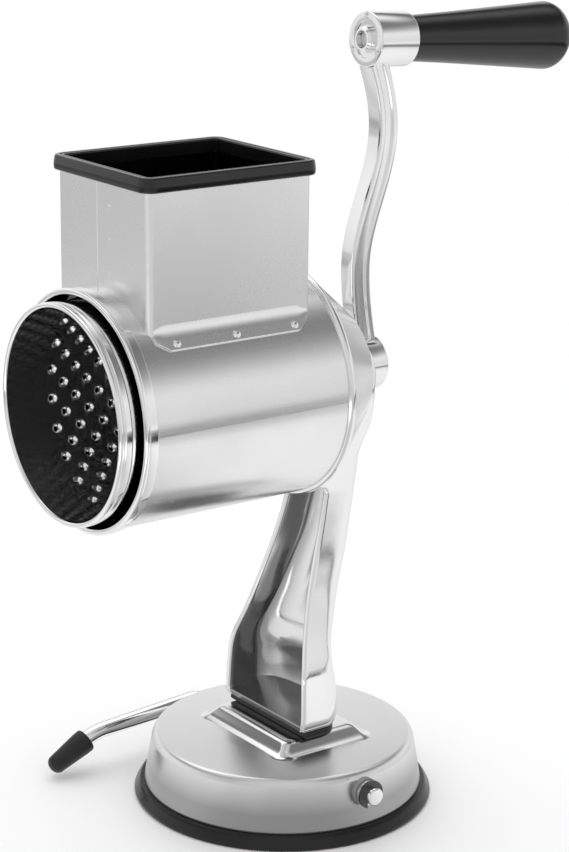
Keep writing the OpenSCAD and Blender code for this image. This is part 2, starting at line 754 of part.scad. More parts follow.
// Stand: open channel column on a floored foot, leaning back into the bell and its hub
module stand() {
    inset = stand_wall / 2;
    bush_end = hub_y - hub_front;
    color(bright)
        difference() {
            union() {
                skin([for (i = [0:len(rise_share) - 1]) column_ring(i)]);
                intersection() {
                    translate([0, 0, foot_z])
                        linear_extrude(height = 2 * floor_back)
                            polygon(column_outline(foot_half, -foot_front + inset / 2,
                                foot_deep - inset / 2, inset));
                    translate([-foot_half, 0, foot_z])
                        rotate([90, 0, 90])
                            linear_extrude(height = 2 * foot_half)
                                polygon([[-foot_front, floor_front / 3], [-foot_front + floor_front / 3, 0],
                                    [foot_deep, 0], [foot_deep, floor_back * 1.2],
                                    [foot_deep - foot_front, floor_back],
                                    [-foot_front + floor_front / 3, floor_front],
                                    [-foot_front, floor_front * 0.7]]);
                }
                turned(concat([[0, -rim_y]],
                    arc(rim_r - rim_half, -rim_y + rim_half, rim_half, rim_half, -90, 90, 10),
                    bell_line(0), arc(bell_neck_r - bell_turn_r * cos(45),
                    cone_y + bell_deep - bell_turn_r * sin(45), bell_turn_r, bell_turn_r, 52, 90, 5),
                    [[0, cone_y + bell_deep + bell_turn_r * (1 - sin(45))]]));
                along_drum(hub_front)
                    cylinder(r = hub_r, h = bush_end);
            }
            difference() {
                turned(concat([[0, -rim_y - over], [tube_r, -rim_y - over], [tube_r, socket_y],
                    [tube_in, socket_y]], [for (p = bell_line(bell_in)) if (p[1] > socket_y + bell_wall / 3) p],
                    arc(bell_neck_r - bell_turn_r * cos(45), cone_y + bell_deep - bell_turn_r * sin(45),
                    bell_turn_r - bell_wall, bell_turn_r - bell_wall, 52, 90, 5),
                    [[0, cone_y + bell_deep + bell_turn_r * (1 - sin(45)) - bell_wall]]));
                along_drum(hub_front)
                    cylinder(r = hub_r - sheet, h = bush_end);
            }
            along_drum(hub_front - over)
                cylinder(r = hub_bush_r, h = bush_end + 2 * over);
            for (x = [-screw_x, screw_x])
                translate([x, screw_y, foot_z - over])
                    cylinder(r = screw_r, h = floor_back / 2 + over);
        }
}

module shaft_bushes() {
    long = (hub_y - hub_front) * 0.4;
    color(bronze) {
        along_drum(hub_front - bush_flange)
            ring(hub_bush_r + bush_flange, shaft_bore, bush_flange);
        along_drum(hub_front)
            ring(hub_bush_r, shaft_bore, long);
        along_drum(hub_y - long)
            ring(hub_bush_r, shaft_bore, long);
    }
}

module housing_tube() {
    color(steel)
        difference() {
            along_drum(-mouth_y)
                difference() {
                    cylinder(r = tube_r, h = mouth_y + socket_y, $fn = 128);
                    translate([0, 0, -over])
                        cylinder(r = tube_in, h = mouth_y + socket_y + 2 * over, $fn = 128);
                }
            translate([-hopper_half + sheet, -hopper_front + sheet, axis_z])
                cube([2 * (hopper_half - sheet), hopper_front - hopper_back - 2 * sheet, 2 * tube_r]);
        }
}

// Rounded collar round the tube's mouth
module mouth_collar() {
    out = tube_r + collar_rise;
    color(bright)
        turned(concat([[tube_in, -mouth_y], [tube_in, -mouth_y - collar_rise / 3]],
            arc(out - collar_rise, -mouth_y + collar_rise * 0.6, collar_rise, collar_rise, 300, 360, 6),
            [[out, collar_long - mouth_y - collar_rise / 2], [out - collar_rise / 2, collar_long - mouth_y],
            [tube_r, collar_long - mouth_y], [tube_r, -mouth_y]]));
}

// Hopper: folded sheet, sat on the tube, with a riveted flap along each side
module hopper() {
    front = -hopper_front;
    back = -hopper_back;
    cut_z = flap_low_z - flap_chamfer;
    color(steel)
        difference() {
            union() {
                translate([0, 0, axis_z])
                    linear_extrude(height = hopper_top - axis_z)
                        difference() {
                            rounded(hopper_half, front, back, hopper_corner);
                            rounded(hopper_half - sheet, front + sheet, back - sheet, hopper_corner - sheet);
                        }
                intersection() {
                    along_drum(front)
                        ring(tube_r + sheet, tube_r, back - front, $fn = 128);
                    rotate([90, 0, 90])
                        translate([0, 0, -2 * tube_r])
                            linear_extrude(height = 4 * tube_r)
                                polygon([[front, flap_top_z], [front, flap_low_z + flap_chamfer * 0.6],
                                    [front + flap_chamfer, flap_low_z], [back - flap_chamfer * 1.2, flap_low_z],
                                    [back, flap_low_z + flap_chamfer * 0.8], [back, flap_top_z]]);
                    difference() {
                        translate([-2 * tube_r, front, cut_z])
                            cube([4 * tube_r, back - front, tube_r]);
                        translate([-hopper_half + sheet, front - over, cut_z - over])
                            cube([2 * (hopper_half - sheet), back - front + 2 * over, 2 * tube_r]);
                    }
                }
            }
            along_drum(front - over)
                cylinder(r = tube_r, h = back - front + 2 * over, $fn = 128);
            translate([-seam_x - seam_wide, front - over, axis_z])
                cube([seam_wide, over + seam_wide / 2, trim_low - axis_z]);
            for (i = [0:2])
                translate([weld_x, front + seam_wide / 3, weld_z + i * weld_pitch])
                    rotate([90, 0, 0])
                        cylinder(r = weld_r, h = over, $fn = 24);
            for (m = [0, 1], k = [-1:1])
                mirror([m, 0, 0])
                    at_rivet(k)
                        cylinder(r = rivet_r / 2, h = 4 * sheet, center = true);
        }
}

// Children at a flap rivet's place on the tube, with Z pointing out of the tube
module at_rivet(k) {
    translate([0, -hopper_mid + k * rivet_reach, axis_z])
        rotate([0, 90 - rivet_turn, 0])
            translate([0, 0, tube_r + sheet])
                children();
}

module flap_rivets() {
    color(bright)
        for (m = [0, 1], k = [-1:1])
            mirror([m, 0, 0])
                at_rivet(k)
                    rotate_extrude($fn = 32)
                        polygon(concat([[0, -sheet], [rivet_r / 2, -sheet], [rivet_r / 2, 0]],
                            arc(0, 0, rivet_r, rivet_h, 0, 90, 6)));
}

// A 2D edge profile carried round a rectangle with round corners, from its outer line inwards
module edging(half, front, back, corner) {
    for (x = [-1, 1])
        translate([x * (half - corner), 0, 0]) {
            translate([0, front + corner, 0])
                rotate([0, 0, x < 0 ? 180 : 270])
                    rotate_extrude(angle = 90, $fn = 64)
                        children();
            translate([0, back - corner, 0])
                rotate([0, 0, x < 0 ? 90 : 0])
                    rotate_extrude(angle = 90, $fn = 64)
                        children();
            translate([0, x < 0 ? front + corner : back - corner, 0])
                rotate([90, 0, x < 0 ? 180 : 0])
                    linear_extrude(height = back - front - 2 * corner)
                        children();
        }
    for (y = [-1, 1])
        translate([-y * (half - corner), y < 0 ? front + corner : back - corner, 0])
            rotate([90, 0, y < 0 ? 270 : 90])
                linear_extrude(height = 2 * (half - corner))
                    children();
}

// Black edging pushed on the hopper's upper edge
module hopper_trim() {
    corner = hopper_corner + trim_out;
    inner = corner - trim_out - sheet - trim_in;
    slot = corner - trim_out;
    top = trim_h;
    edge = trim_h / 4;
    color(black)
        translate([0, 0, trim_low])
            edging(hopper_half + trim_out, -hopper_front - trim_out, -hopper_back + trim_out, corner)
                polygon(concat([[slot, 0], [corner - edge / 2, 0], [corner, edge / 2]],
                    arc(corner - edge, top - edge, edge, edge, 0, 90, 6),
                    arc(inner + edge / 2, top - edge / 2, edge / 2, edge / 2, 90, 180, 4),
                    [[inner, 0], [slot - sheet, 0], [slot - sheet, trim_grip], [slot, trim_grip]]));
}

// Drum: thin shell with staggered rows of rasp holes
module drum_shell() {
    color(steel)
        along_drum(-drum_front_y + bead_r)
            difference() {
                ring(drum_r, drum_in, drum_front_y - bead_r - rim_y + disc_thick, $fn = 128);
                for (i = [0:rasp_rows - 1], j = [0:rasp_count - 1])
                    rotate([0, 0, (j + (i + 1) % 2 / 2) * 360 / rasp_count])
                        translate([drum_in - over, 0, rasp_start - bead_r + rasp_pitch * i])
                            rotate([0, 90, 0])
                                cylinder(r = rasp_r, h = drum_wall + 2 * over, $fn = 16);
            }
}

module drum_ring() {
    y = -drum_front_y;
    color(bright)
        turned(concat([[drum_r, y + band_wide], [drum_r, y + bead_r], [drum_in, y + bead_r]],
            arc(drum_r + band_rise - bead_r, y + bead_r, bead_r, bead_r, 180, 360, 12),
            [[drum_r + band_rise, y + band_wide - band_rise], [drum_r + band_rise / 2, y + band_wide]]));
}

// Back disc of the drum, with a turned edge inside the shell and a hub on the shaft
module drum_back() {
    y = disc_y;
    color(steel)
        difference() {
            turned([[shaft_r, y - disc_thick], [drum_in - disc_thick, y - disc_thick],
                [drum_in - disc_thick, y - disc_edge], [drum_in, y - disc_edge], [drum_in, y],
                [disc_hub_r, y], [disc_hub_r, disc_hub_y], [shaft_r, disc_hub_y]]);
            for (j = [0:disc_rivets - 1])
                along_drum(y - disc_edge / 2 - disc_thick / 2)
                    rotate([0, 0, j * 360 / disc_rivets])
                        translate([drum_in - disc_edge, 0, 0])
                            rotate([0, 90, 0])
                                cylinder(r = rasp_r, h = 2 * disc_edge, $fn = 24);
        }
}

// Rivets through the turned edge, their flat heads seated on its round inside
module drum_rivets() {
    head_seat = sqrt(pow(drum_in - disc_thick, 2) - pow(2 * rasp_r, 2));
    shank_end = sqrt(pow(drum_in, 2) - pow(rasp_r, 2));
    color(bright)
        for (j = [0:disc_rivets - 1])
            along_drum(disc_y - disc_edge / 2 - disc_thick / 2)
                rotate([0, 0, j * 360 / disc_rivets])
                    translate([head_seat - rivet_h, 0, 0])
                        rotate([0, 90, 0]) {
                            cylinder(r = rasp_r, h = shank_end - head_seat + rivet_h, $fn = 24);
                            cylinder(r = 2 * rasp_r, h = rivet_h, $fn = 24);
                        }
}

module drive_shaft() {
    start = disc_y - disc_thick - nut_thick - washer_thick;
    color(steel)
        difference() {
            along_drum(start - washer_thick)
                cylinder(r = shaft_r, h = shaft_end - start + washer_thick);
            along_drum(shaft_end - low_boss_long)
                cylinder(r = crank_screw_r, h = 2 * low_boss_long);
        }
}

module drum_nut() {
    color(bright)
        along_drum(disc_y - disc_thick - washer_thick - nut_thick)
            difference() {
                intersection() {
                    cylinder(r = nut_r / cos(30), h = nut_thick, $fn = 6);
                    rotate_extrude()
                        polygon([[0, 0], [nut_r, 0], [nut_r * 1.2, nut_thick / 5], [nut_r * 1.2, nut_thick],
                            [0, nut_thick]]);
                }
                translate([0, 0, -over])
                    cylinder(r = shaft_r, h = nut_thick + 2 * over);
            }
}

module drum_washer() {
    color(steel)
        along_drum(disc_y - disc_thick - washer_thick)
            ring(nut_r * 1.4, shaft_r, washer_thick);
}

module thrust_washer() {
    color(steel)
        along_drum(crank_y - washer_thick)
            ring(low_boss_r, shaft_r, washer_thick);
}

// Half of the arm's cross-section, as [across, along the drum's axis] points: edges and one groove
function arm_half_section() = let (
    x = arm_wide / 2,
    y = arm_thick / 2,
    g = groove_wide / 2)
    concat(arc(x - arm_edge, -y + arm_edge, arm_edge, arm_edge, -90, 0, 4),
        [[x, -g], [x - groove_deep, -g + groove_deep / 2], [x - groove_deep, g - groove_deep / 2], [x, g]],
        arc(x - arm_edge, y - arm_edge, arm_edge, arm_edge, 0, 90, 4));

function arm_section() = concat(arm_half_section(), [for (p = arm_half_section()) [-p[0], -p[1]]]);

// The wave weakens below its lowest point, so that the arm runs down into its lower boss
function arm_wave_y(up) = let (t = 360 * (up - arm_mid_up) / arm_wave_long)
    t < -90 ? arm_mid_y - arm_wave_deep + arm_foot_share * arm_wave_deep * (1 + sin(t))
        : arm_mid_y + arm_wave_deep * sin(t);

// Inside the lower boss the arm stays behind the boss's front face
function arm_y(up) = up < low_boss_r + arm_edge ? max(crank_y + arm_thick / 2, arm_wave_y(up)) : arm_wave_y(up);

function arm_ring(up) = let (turn = atan((arm_y(up + arm_edge) - arm_y(up - arm_edge)) / (2 * arm_edge)))
    [for (p = arm_section()) [p[0], arm_y(up) + p[1] / cos(turn), axis_z + up]];

// Crank arm: an S-curved bar with a groove on each side, between two bosses
module crank_arm() {
    low = low_boss_r * 0.6;
    high = crank_long - top_boss_r * 0.85;
    color(bright)
        difference() {
            union() {
                skin([for (i = [0:arm_steps]) arm_ring(low + (high - low) * i / arm_steps)]);
                along_drum(crank_y)
                    rotate_extrude()
                        polygon([[0, 0], [low_boss_r - edge_break, 0], [low_boss_r, edge_break],
                            [low_boss_r, low_boss_long - 2 * edge_break],
                            [low_boss_r - 2 * edge_break, low_boss_long],
                            [0, low_boss_long]]);
                along_handle(0)
                    rotate_extrude()
                        polygon([[0, 0], [top_boss_r - edge_break, 0], [top_boss_r, edge_break],
                            [top_boss_r, top_boss_long - edge_break], [top_boss_r - edge_break, top_boss_long],
                            [0, top_boss_long]]);
            }
            along_drum(crank_y - over)
                cylinder(r = shaft_r, h = low_boss_long + 2 * over);
            along_drum(shaft_end)
                cylinder(r = crank_head_r + washer_thick, h = low_boss_long);
            along_handle(-over)
                cylinder(r = pin_r, h = top_boss_long + 2 * over);
            along_handle(-over)
                cylinder(r = stake_r, h = stake_deep + over);
            for (k = [0:2])
                along_handle(0)
                    rotate([0, 0, 30 + k * 120])
                        translate([dimple_reach, 0, 0])
                            sphere(r = dimple_r, $fn = 24);
        }
}

module crank_screw() {
    color(steel)
        difference() {
            union() {
                along_drum(shaft_end - low_boss_long)
                    cylinder(r = crank_screw_r, h = low_boss_long + washer_thick);
                along_drum(shaft_end + washer_thick)
                    cylinder(r = crank_head_r, h = crank_head_h);
            }
            along_drum(shaft_end + washer_thick + crank_head_h / 2)
                cylinder(r = crank_screw_r, h = crank_head_h, $fn = 6);
        }
}

module crank_washer() {
    color(steel)
        along_drum(shaft_end)
            ring(crank_head_r + washer_thick, crank_screw_r, washer_thick);
}

// Hollow pin: riveted through the boss, thinner inside the grip, with a head that holds the bush
module handle_pin() {
    far = top_boss_long + pin_long;
    color(bright)
        along_handle(0)
            rotate_extrude()
                polygon([[pin_bore, -pin_proud], [pin_r - sheet, -pin_proud], [pin_r, sheet - pin_proud],
                    [pin_r, top_boss_long], [pin_thin, top_boss_long], [pin_thin, far],
                    [pin_head_r, far], [pin_head_r, far + washer_thick], [0, far + washer_thick],
                    [0, far - washer_thick], [pin_bore, far - washer_thick]]);
}

module handle_washer() {
    color(steel)
        along_handle(top_boss_long)
            ring(grip_r - washer_thick, pin_thin, washer_thick / 2);
}

module grip_core() {
    color(black)
        along_handle(top_boss_long + core_gap)
            ring(grip_bore, core_bore, core_long);
}

// Grip: a cone that widens away from the crank, with a domed end
module handle_grip() {
    neck = grip_long - grip_dome;
    hollow = pin_long + 4 * washer_thick;
    color(black)
        along_handle(top_boss_long + core_gap)
            rotate_extrude($fn = 96)
                polygon(concat([[grip_bore, 0], [grip_r - edge_break, 0], [grip_r, edge_break]],
                    arc(0, neck, grip_big_r, grip_dome, 0, 90, 14), [[0, hollow], [grip_bore, hollow]]));
}

suction_cup();
suction_plate();
suction_yoke();
base_dome();
axle_bushes();
lever_rod();
lever_cam();
cam_pin();
lever_grip();
axle_clip();
axle_washer();
foot_plinth();
stand_screws();
stand_washers();
stand();
shaft_bushes();
housing_tube();
mouth_collar();
hopper();
flap_rivets();
hopper_trim();
drum_shell();
drum_ring();
drum_back();
drum_rivets();
drive_shaft();
drum_nut();
drum_washer();
thrust_washer();
crank_arm();
crank_screw();
crank_washer();
handle_pin();
handle_washer();
grip_core();
handle_grip();
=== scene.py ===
import bpy
import bmesh
import json
from math import asin, atan2, copysign, cos, degrees, hypot, pi, radians, sin, sqrt, tan, tau
from mathutils import Matrix, Vector

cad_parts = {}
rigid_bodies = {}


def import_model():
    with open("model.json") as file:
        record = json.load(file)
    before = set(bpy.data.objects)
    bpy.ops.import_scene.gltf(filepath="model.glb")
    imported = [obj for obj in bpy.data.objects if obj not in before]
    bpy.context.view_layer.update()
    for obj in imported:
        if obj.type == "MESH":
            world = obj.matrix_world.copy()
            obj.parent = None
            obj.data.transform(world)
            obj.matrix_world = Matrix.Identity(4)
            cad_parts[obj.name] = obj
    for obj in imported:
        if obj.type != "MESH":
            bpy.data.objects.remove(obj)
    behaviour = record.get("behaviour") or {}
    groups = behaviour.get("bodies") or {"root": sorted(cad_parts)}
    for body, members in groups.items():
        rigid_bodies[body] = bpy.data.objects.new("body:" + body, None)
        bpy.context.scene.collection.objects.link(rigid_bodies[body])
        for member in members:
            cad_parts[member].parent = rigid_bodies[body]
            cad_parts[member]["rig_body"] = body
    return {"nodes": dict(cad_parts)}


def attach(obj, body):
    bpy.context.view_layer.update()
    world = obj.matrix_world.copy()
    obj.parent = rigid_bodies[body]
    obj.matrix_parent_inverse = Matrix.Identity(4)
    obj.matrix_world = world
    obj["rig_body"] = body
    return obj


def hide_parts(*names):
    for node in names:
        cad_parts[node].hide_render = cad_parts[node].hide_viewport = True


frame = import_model()
nodes = frame["nodes"]
scene = bpy.context.scene
for extra in [o for o in scene.objects if "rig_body" not in o and not o.name.startswith("body:")]:
    bpy.data.objects.remove(extra)
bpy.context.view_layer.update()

turn = tau  # a full turn, in radians

# sizes that several pieces share, in millimetres like every size of a piece below
axisHeight = 180.4  # the drum's axis
tubeOut, tubeIn = 46.4, 45.5
drumOut, drumIn = 42.5, 41.7
axleHeight = 19.3
hopperHalf, hopperFront, hopperBack, hopperCorner = 31.7, -87.0, -12.5, 2.8
sheetWall = 0.9
hopperMiddle = (hopperFront + hopperBack) / 2


# camera, first so that the framing is settled; near and far are in metres
cameraSet = {"place": (743.94, -548.815, 426.848), "azimuth": 53.631, "elevation": 16.145,
             "roll": 0.669, "lens": 100.2, "sensor": 36, "near": 0.05, "far": 20}


def placeCamera(look):
    a, e, r = (radians(look[k]) for k in ("azimuth", "elevation", "roll"))
    back = Vector((sin(a) * cos(e), -cos(a) * cos(e), sin(e)))
    right = Vector((cos(a), sin(a), 0))
    up = back.cross(right)
    rolledRight = right * cos(r) + up * sin(r)
    rolledUp = up * cos(r) - right * sin(r)
    camera = bpy.data.objects.new("camera", bpy.data.cameras.new("camera"))
    camera.data.sensor_width = look["sensor"]
    camera.data.lens = look["lens"]
    camera.data.clip_start, camera.data.clip_end = look["near"], look["far"]
    placed = Matrix((rolledRight, rolledUp, back)).transposed().to_4x4()
    placed.translation = Vector(look["place"]) / 1000
    camera.matrix_world = placed
    scene.collection.objects.link(camera)
    scene.camera = camera


placeCamera(cameraSet)
print("camera placed")


# shader helpers
def grey(level):
    return (level, level, level)


def addNode(tree, kind, sockets=None, **settings):
    family = "ShaderNode" if tree.bl_idname == "ShaderNodeTree" else "GeometryNode"
    node = tree.nodes.new(family + kind)
    for key, value in settings.items():
        setattr(node, key, value)
    for key, value in (sockets or {}).items():
        if isinstance(value, bpy.types.NodeSocket):
            tree.links.new(value, node.inputs[key])
        else:
            node.inputs[key].default_value = value
    return node


def mathNode(tree, operation, first, second=0.0, clamp=False):
    node = addNode(tree, "Math", {0: first, 1: second}, operation=operation, use_clamp=clamp)
    return node.outputs[0]


def rangeNode(tree, value, fromLow, fromHigh, toLow=0.0, toHigh=1.0, kind="LINEAR"):
    node = addNode(tree, "MapRange", {0: value, 1: fromLow, 2: fromHigh, 3: toLow, 4: toHigh},
                   interpolation_type=kind)
    return node.outputs[0]


def fadeNode(tree, value, start, end, first=0.0, last=1.0):
    return rangeNode(tree, value, start, end, first, last, "SMOOTHSTEP")


def lengthNode(tree, x, y):
    squares = [mathNode(tree, "MULTIPLY", side, side) for side in (x, y)]
    return mathNode(tree, "SQRT", mathNode(tree, "ADD", *squares))


def pieceSpot(tree):  # x, y and z on the piece, in metres
    coords = addNode(tree, "TexCoord")
    return addNode(tree, "SeparateXYZ", {0: coords.outputs["Object"]}).outputs


def startMaterial(name, shaderValues):
    material = bpy.data.materials.new(name)
    material.use_nodes = True
    tree = material.node_tree
    shader = tree.nodes["Principled BSDF"]
    for key, value in shaderValues.items():
        shader.inputs[key].default_value = value
    return material, tree, shader


# how every finish reads its noises: the useful span, each noise's detail and a bump's height in metres
noiseSet = {"low": 0.3, "high": 0.7, "rough": 0.6, "grain": 5.0, "speck": 4.0, "cloud": 2.0, "scratch": 1.0,
            "wave": 0.0, "markLow": 0.70, "markHigh": 0.76, "bumpHigh": 0.0001}
even = (1, 1, 1)


def noiseNode(tree, kind, size, stretch=even):
    coords = addNode(tree, "TexCoord")
    mapping = addNode(tree, "Mapping", {"Vector": coords.outputs["Object"], "Scale": stretch})
    noise = addNode(tree, "TexNoise", {"Vector": mapping.outputs[0], "Scale": size,
                                       "Detail": noiseSet[kind], "Roughness": noiseSet["rough"]})
    return noise.outputs[0]


def spreadNode(tree, noise, low=0.0, high=1.0):
    return rangeNode(tree, noise, noiseSet["low"], noiseSet["high"], low, high)


def cloudedColour(tree, shader, look):
    cloud = noiseNode(tree, "cloud", look["cloudSize"])
    tone = addNode(tree, "Mix", {"Factor": spreadNode(tree, cloud), 6: (*look["colour"], 1),
                                 7: (*look["colourWorn"], 1)}, data_type="RGBA")
    tree.links.new(tone.outputs[2], shader.inputs["Base Color"])
    return cloud


# what a steel has unless it says otherwise; the depth of its waves is in metres
usualSteel = {"colour": grey(0.86), "colourWorn": grey(0.82), "stretch": even, "grainSize": 900.0,
              "cloudSize": 28.0, "scratchStretch": (1, 1, 14), "scratchSize": 260.0, "roughLow": 0.12,
              "roughHigh": 0.2, "smudge": 0.02, "grainDeep": 0.5, "scratchDeep": 0.25, "markRough": 0.08,
              "bump": 0.1, "waveDeep": 0}


def steel(name, **changes):
    look = {**usualSteel, **changes}
    material, tree, shader = startMaterial(name, {"Metallic": 1.0, "IOR": 1.5})
    grain = noiseNode(tree, "grain", look["grainSize"], look["stretch"])
    cloud = cloudedColour(tree, shader, look)
    scratch = noiseNode(tree, "scratch", look["scratchSize"], look["scratchStretch"])
    marks = rangeNode(tree, scratch, noiseSet["markLow"], noiseSet["markHigh"])
    rough = mathNode(tree, "ADD", spreadNode(tree, grain, look["roughLow"], look["roughHigh"]),
                     spreadNode(tree, cloud, -look["smudge"], look["smudge"]))
    rough = mathNode(tree, "ADD", rough, mathNode(tree, "MULTIPLY", marks, look["markRough"]), clamp=True)
    tree.links.new(rough, shader.inputs["Roughness"])
    height = mathNode(tree, "SUBTRACT", mathNode(tree, "MULTIPLY", grain, look["grainDeep"]),
                      mathNode(tree, "MULTIPLY", marks, look["scratchDeep"]))
    bump = addNode(tree, "Bump", {"Strength": look["bump"], "Distance": noiseSet["bumpHigh"],
                                  "Height": height})
    if look["waveDeep"]:  # slow unevenness of a polished casting or pressed sheet
        slow = addNode(tree, "Bump", {"Strength": 1.0, "Distance": look["waveDeep"],
                                      "Height": noiseNode(tree, "wave", look["waveSize"])})
        tree.links.new(slow.outputs[0], bump.inputs["Normal"])
    tree.links.new(bump.outputs[0], shader.inputs["Normal"])
    return material, tree, shader


def plastic(name, **look):
    material, tree, shader = startMaterial(name, {"IOR": look["ior"]})
    cloud = cloudedColour(tree, shader, look)
    tree.links.new(spreadNode(tree, cloud, look["roughLow"], look["roughHigh"]), shader.inputs["Roughness"])
    bump = addNode(tree, "Bump", {"Strength": look["bump"], "Distance": noiseSet["bumpHigh"],
                                  "Height": noiseNode(tree, "speck", look["speckSize"])})
    tree.links.new(bump.outputs[0], shader.inputs["Normal"])
    return material


def tintPart(made, share, colour):
    tree, shader = made[1:]
    old = shader.inputs["Base Color"].links[0].from_socket
    tone = addNode(tree, "Mix", {"Factor": share, 6: old, 7: (*colour, 1)}, data_type="RGBA")
    tree.links.new(tone.outputs[2], shader.inputs["Base Color"])
    return made[0]


def paintedFootShade(made, tone):  # painted shade: an upright wall's colour darkens towards its foot
    share = rangeNode(made[1], pieceSpot(made[1])[2], tone["foot"] / 1000, tone["top"] / 1000, 1.0, 0.0)
    return tintPart(made, share, tone["colour"])


def paintedShadeInside(made, inside):  # painted shade: the inner wall's colour darkens below a radius about the drum's axis
    tree = made[1]
    spot = pieceSpot(tree)
    reach = lengthNode(tree, spot[0], mathNode(tree, "SUBTRACT", spot[2], axisHeight / 1000))
    share = rangeNode(tree, reach, inside["from"] / 1000, inside["to"] / 1000, 1.0, 0.0)
    return tintPart(made, share, inside["colour"])


def paintedBoxShade(made, inside):  # painted shade: the inner faces of an upright box with round corners darken
    tree = made[1]
    spot = pieceSpot(tree)
    along = mathNode(tree, "SUBTRACT", spot[1], inside["middle"] / 1000)
    sides = []
    for place, half in ((spot[0], inside["halfX"]), (along, inside["halfY"])):
        away = mathNode(tree, "ABSOLUTE", place)
        past = mathNode(tree, "SUBTRACT", away, (half - inside["corner"]) / 1000)
        sides.append(mathNode(tree, "MAXIMUM", past, 0.0))
    bend = (inside["corner"] - inside["wall"] / 2) / 1000
    share = mathNode(tree, "LESS_THAN", lengthNode(tree, *sides), bend)
    return tintPart(made, share, inside["colour"])


def paintedShadeMarked(made, name, colour):  # painted shade where the piece's own attribute marks it
    mark = addNode(made[1], "Attribute", attribute_name=name)
    return tintPart(made, mark.outputs["Fac"], colour)


polishedLook = {"colour": grey(0.88), "colourWorn": grey(0.84), "roughLow": 0.09, "roughHigh": 0.14,
                "bump": 0.04, "waveSize": 40.0, "waveDeep": 0.00012}
# painted shade: the tube's and the drum's inner walls are darkened
tubeInsideShade = {"from": 45.6, "to": 45.9, "colour": grey(0.02)}
drumInsideShade = {"from": 41.72, "to": 41.9, "colour": grey(0.34)}
# painted shade: the hopper's inner faces are darkened
hopperInsideShade = {"halfX": hopperHalf, "halfY": (hopperBack - hopperFront) / 2, "middle": hopperMiddle,
                "corner": hopperCorner, "wall": sheetWall, "colour": grey(0.02)}
# painted shade: the dome's wall darkens towards its foot
domeFootShade = {"foot": 13.0, "top": 26.0, "colour": grey(0.36)}

polished = steel("polishedCasting", **polishedLook)[0]
# painted shade in the column's hollow, carried by its hollow attribute
columnSteel = paintedShadeMarked(steel("columnCasting", **polishedLook), "hollow", grey(0.36))
# painted shade: the stand's floor is a darker copy of the column's casting
shadedFloorSteel = steel("floorCasting", colour=grey(0.34), colourWorn=grey(0.42), roughLow=0.16,
                   roughHigh=0.24)[0]
satinTube = paintedShadeInside(steel("satinTube", stretch=(1, 0.04, 1), roughLow=0.22, roughHigh=0.26, smudge=0.01,
                             bump=0.03, grainSize=1400.0), tubeInsideShade)
satinSheet = paintedBoxShade(steel("satinSheet", colour=grey(0.93), colourWorn=grey(0.90), stretch=(1, 1, 0.2),
                           roughLow=0.27, roughHigh=0.29, smudge=0.012, bump=0.006, grainSize=1600.0,
                           scratchDeep=0.0, markRough=0.0, waveSize=16.0, waveDeep=0.00008), hopperInsideShade)
satinDome = paintedFootShade(steel("satinDome", colour=grey(0.80), colourWorn=grey(0.77), roughLow=0.28,
                          roughHigh=0.32, smudge=0.015, bump=0.02, grainSize=2400.0,
                          scratchDeep=0.1), domeFootShade)
satinPad = steel("satinPad", colour=grey(0.84), colourWorn=grey(0.80), roughLow=0.13, roughHigh=0.16,
                 smudge=0.01, bump=0.01, grainSize=1600.0, scratchDeep=0.0)[0]
brightTrim = steel("brightTrim", colour=grey(0.90), colourWorn=grey(0.86), roughLow=0.07, roughHigh=0.11,
                   bump=0.04)[0]
plainSteel = steel("plainSteel", colour=grey(0.70), colourWorn=grey(0.62), roughLow=0.22, roughHigh=0.30,
                   bump=0.06)[0]
drumSteel = paintedShadeInside(steel("drumSteel", colour=grey(0.97), colourWorn=grey(0.93), roughLow=0.12,
                             roughHigh=0.18, bump=0.04), drumInsideShade)
darkSteel = steel("darkSteel", colour=grey(0.06), colourWorn=grey(0.1), roughLow=0.25, roughHigh=0.4)[0]
bronze = steel("sinteredBronze", colour=(0.60, 0.42, 0.22), colourWorn=(0.50, 0.34, 0.17), roughLow=0.35,
               roughHigh=0.5, bump=0.5)[0]
rubber = plastic("cupRubber", colour=grey(0.006), colourWorn=grey(0.010), speckSize=2600.0, cloudSize=40.0,
                 roughLow=0.26, roughHigh=0.34, bump=0.2, ior=1.4)
glossBlack = plastic("glossBlack", colour=grey(0.005), colourWorn=grey(0.008), speckSize=1500.0,
                     cloudSize=30.0, roughLow=0.10, roughHigh=0.14, bump=0.02, ior=1.5)
mattBlack = plastic("mattBlack", colour=grey(0.010), colourWorn=grey(0.016), speckSize=2400.0,
                    cloudSize=60.0, roughLow=0.35, roughHigh=0.48, bump=0.4, ior=1.4)
greyPolymer = plastic("greyPolymer", colour=grey(0.30), colourWorn=grey(0.24), speckSize=2400.0,
                      cloudSize=60.0, roughLow=0.3, roughHigh=0.42, bump=0.2, ior=1.5)
print("finishes made")


# mesh helpers
# weld and least are in metres, centre in millimetres, and sharp is the bend that counts as an edge
meshSet = {"weld": 1e-6, "least": 1e-7, "centre": 1e-6, "sharp": 38}


def newMesh(name, verts, edges=(), faces=()):
    mesh = bpy.data.meshes.new(name)
    mesh.from_pydata([[c / 1000 for c in v] for v in verts], edges, faces)
    return mesh


def makeObject(name, verts, faces, material, recalc=True, sharp=meshSet["sharp"], marks=None):
    mesh = newMesh(name, verts, faces=faces)
    # the marks carry painted shade for a hollow
    if marks:
        mesh.attributes.new("hollow", "FLOAT", "POINT").data.foreach_set("value", marks)
    return finishMesh(name, mesh, material, recalc, sharp)


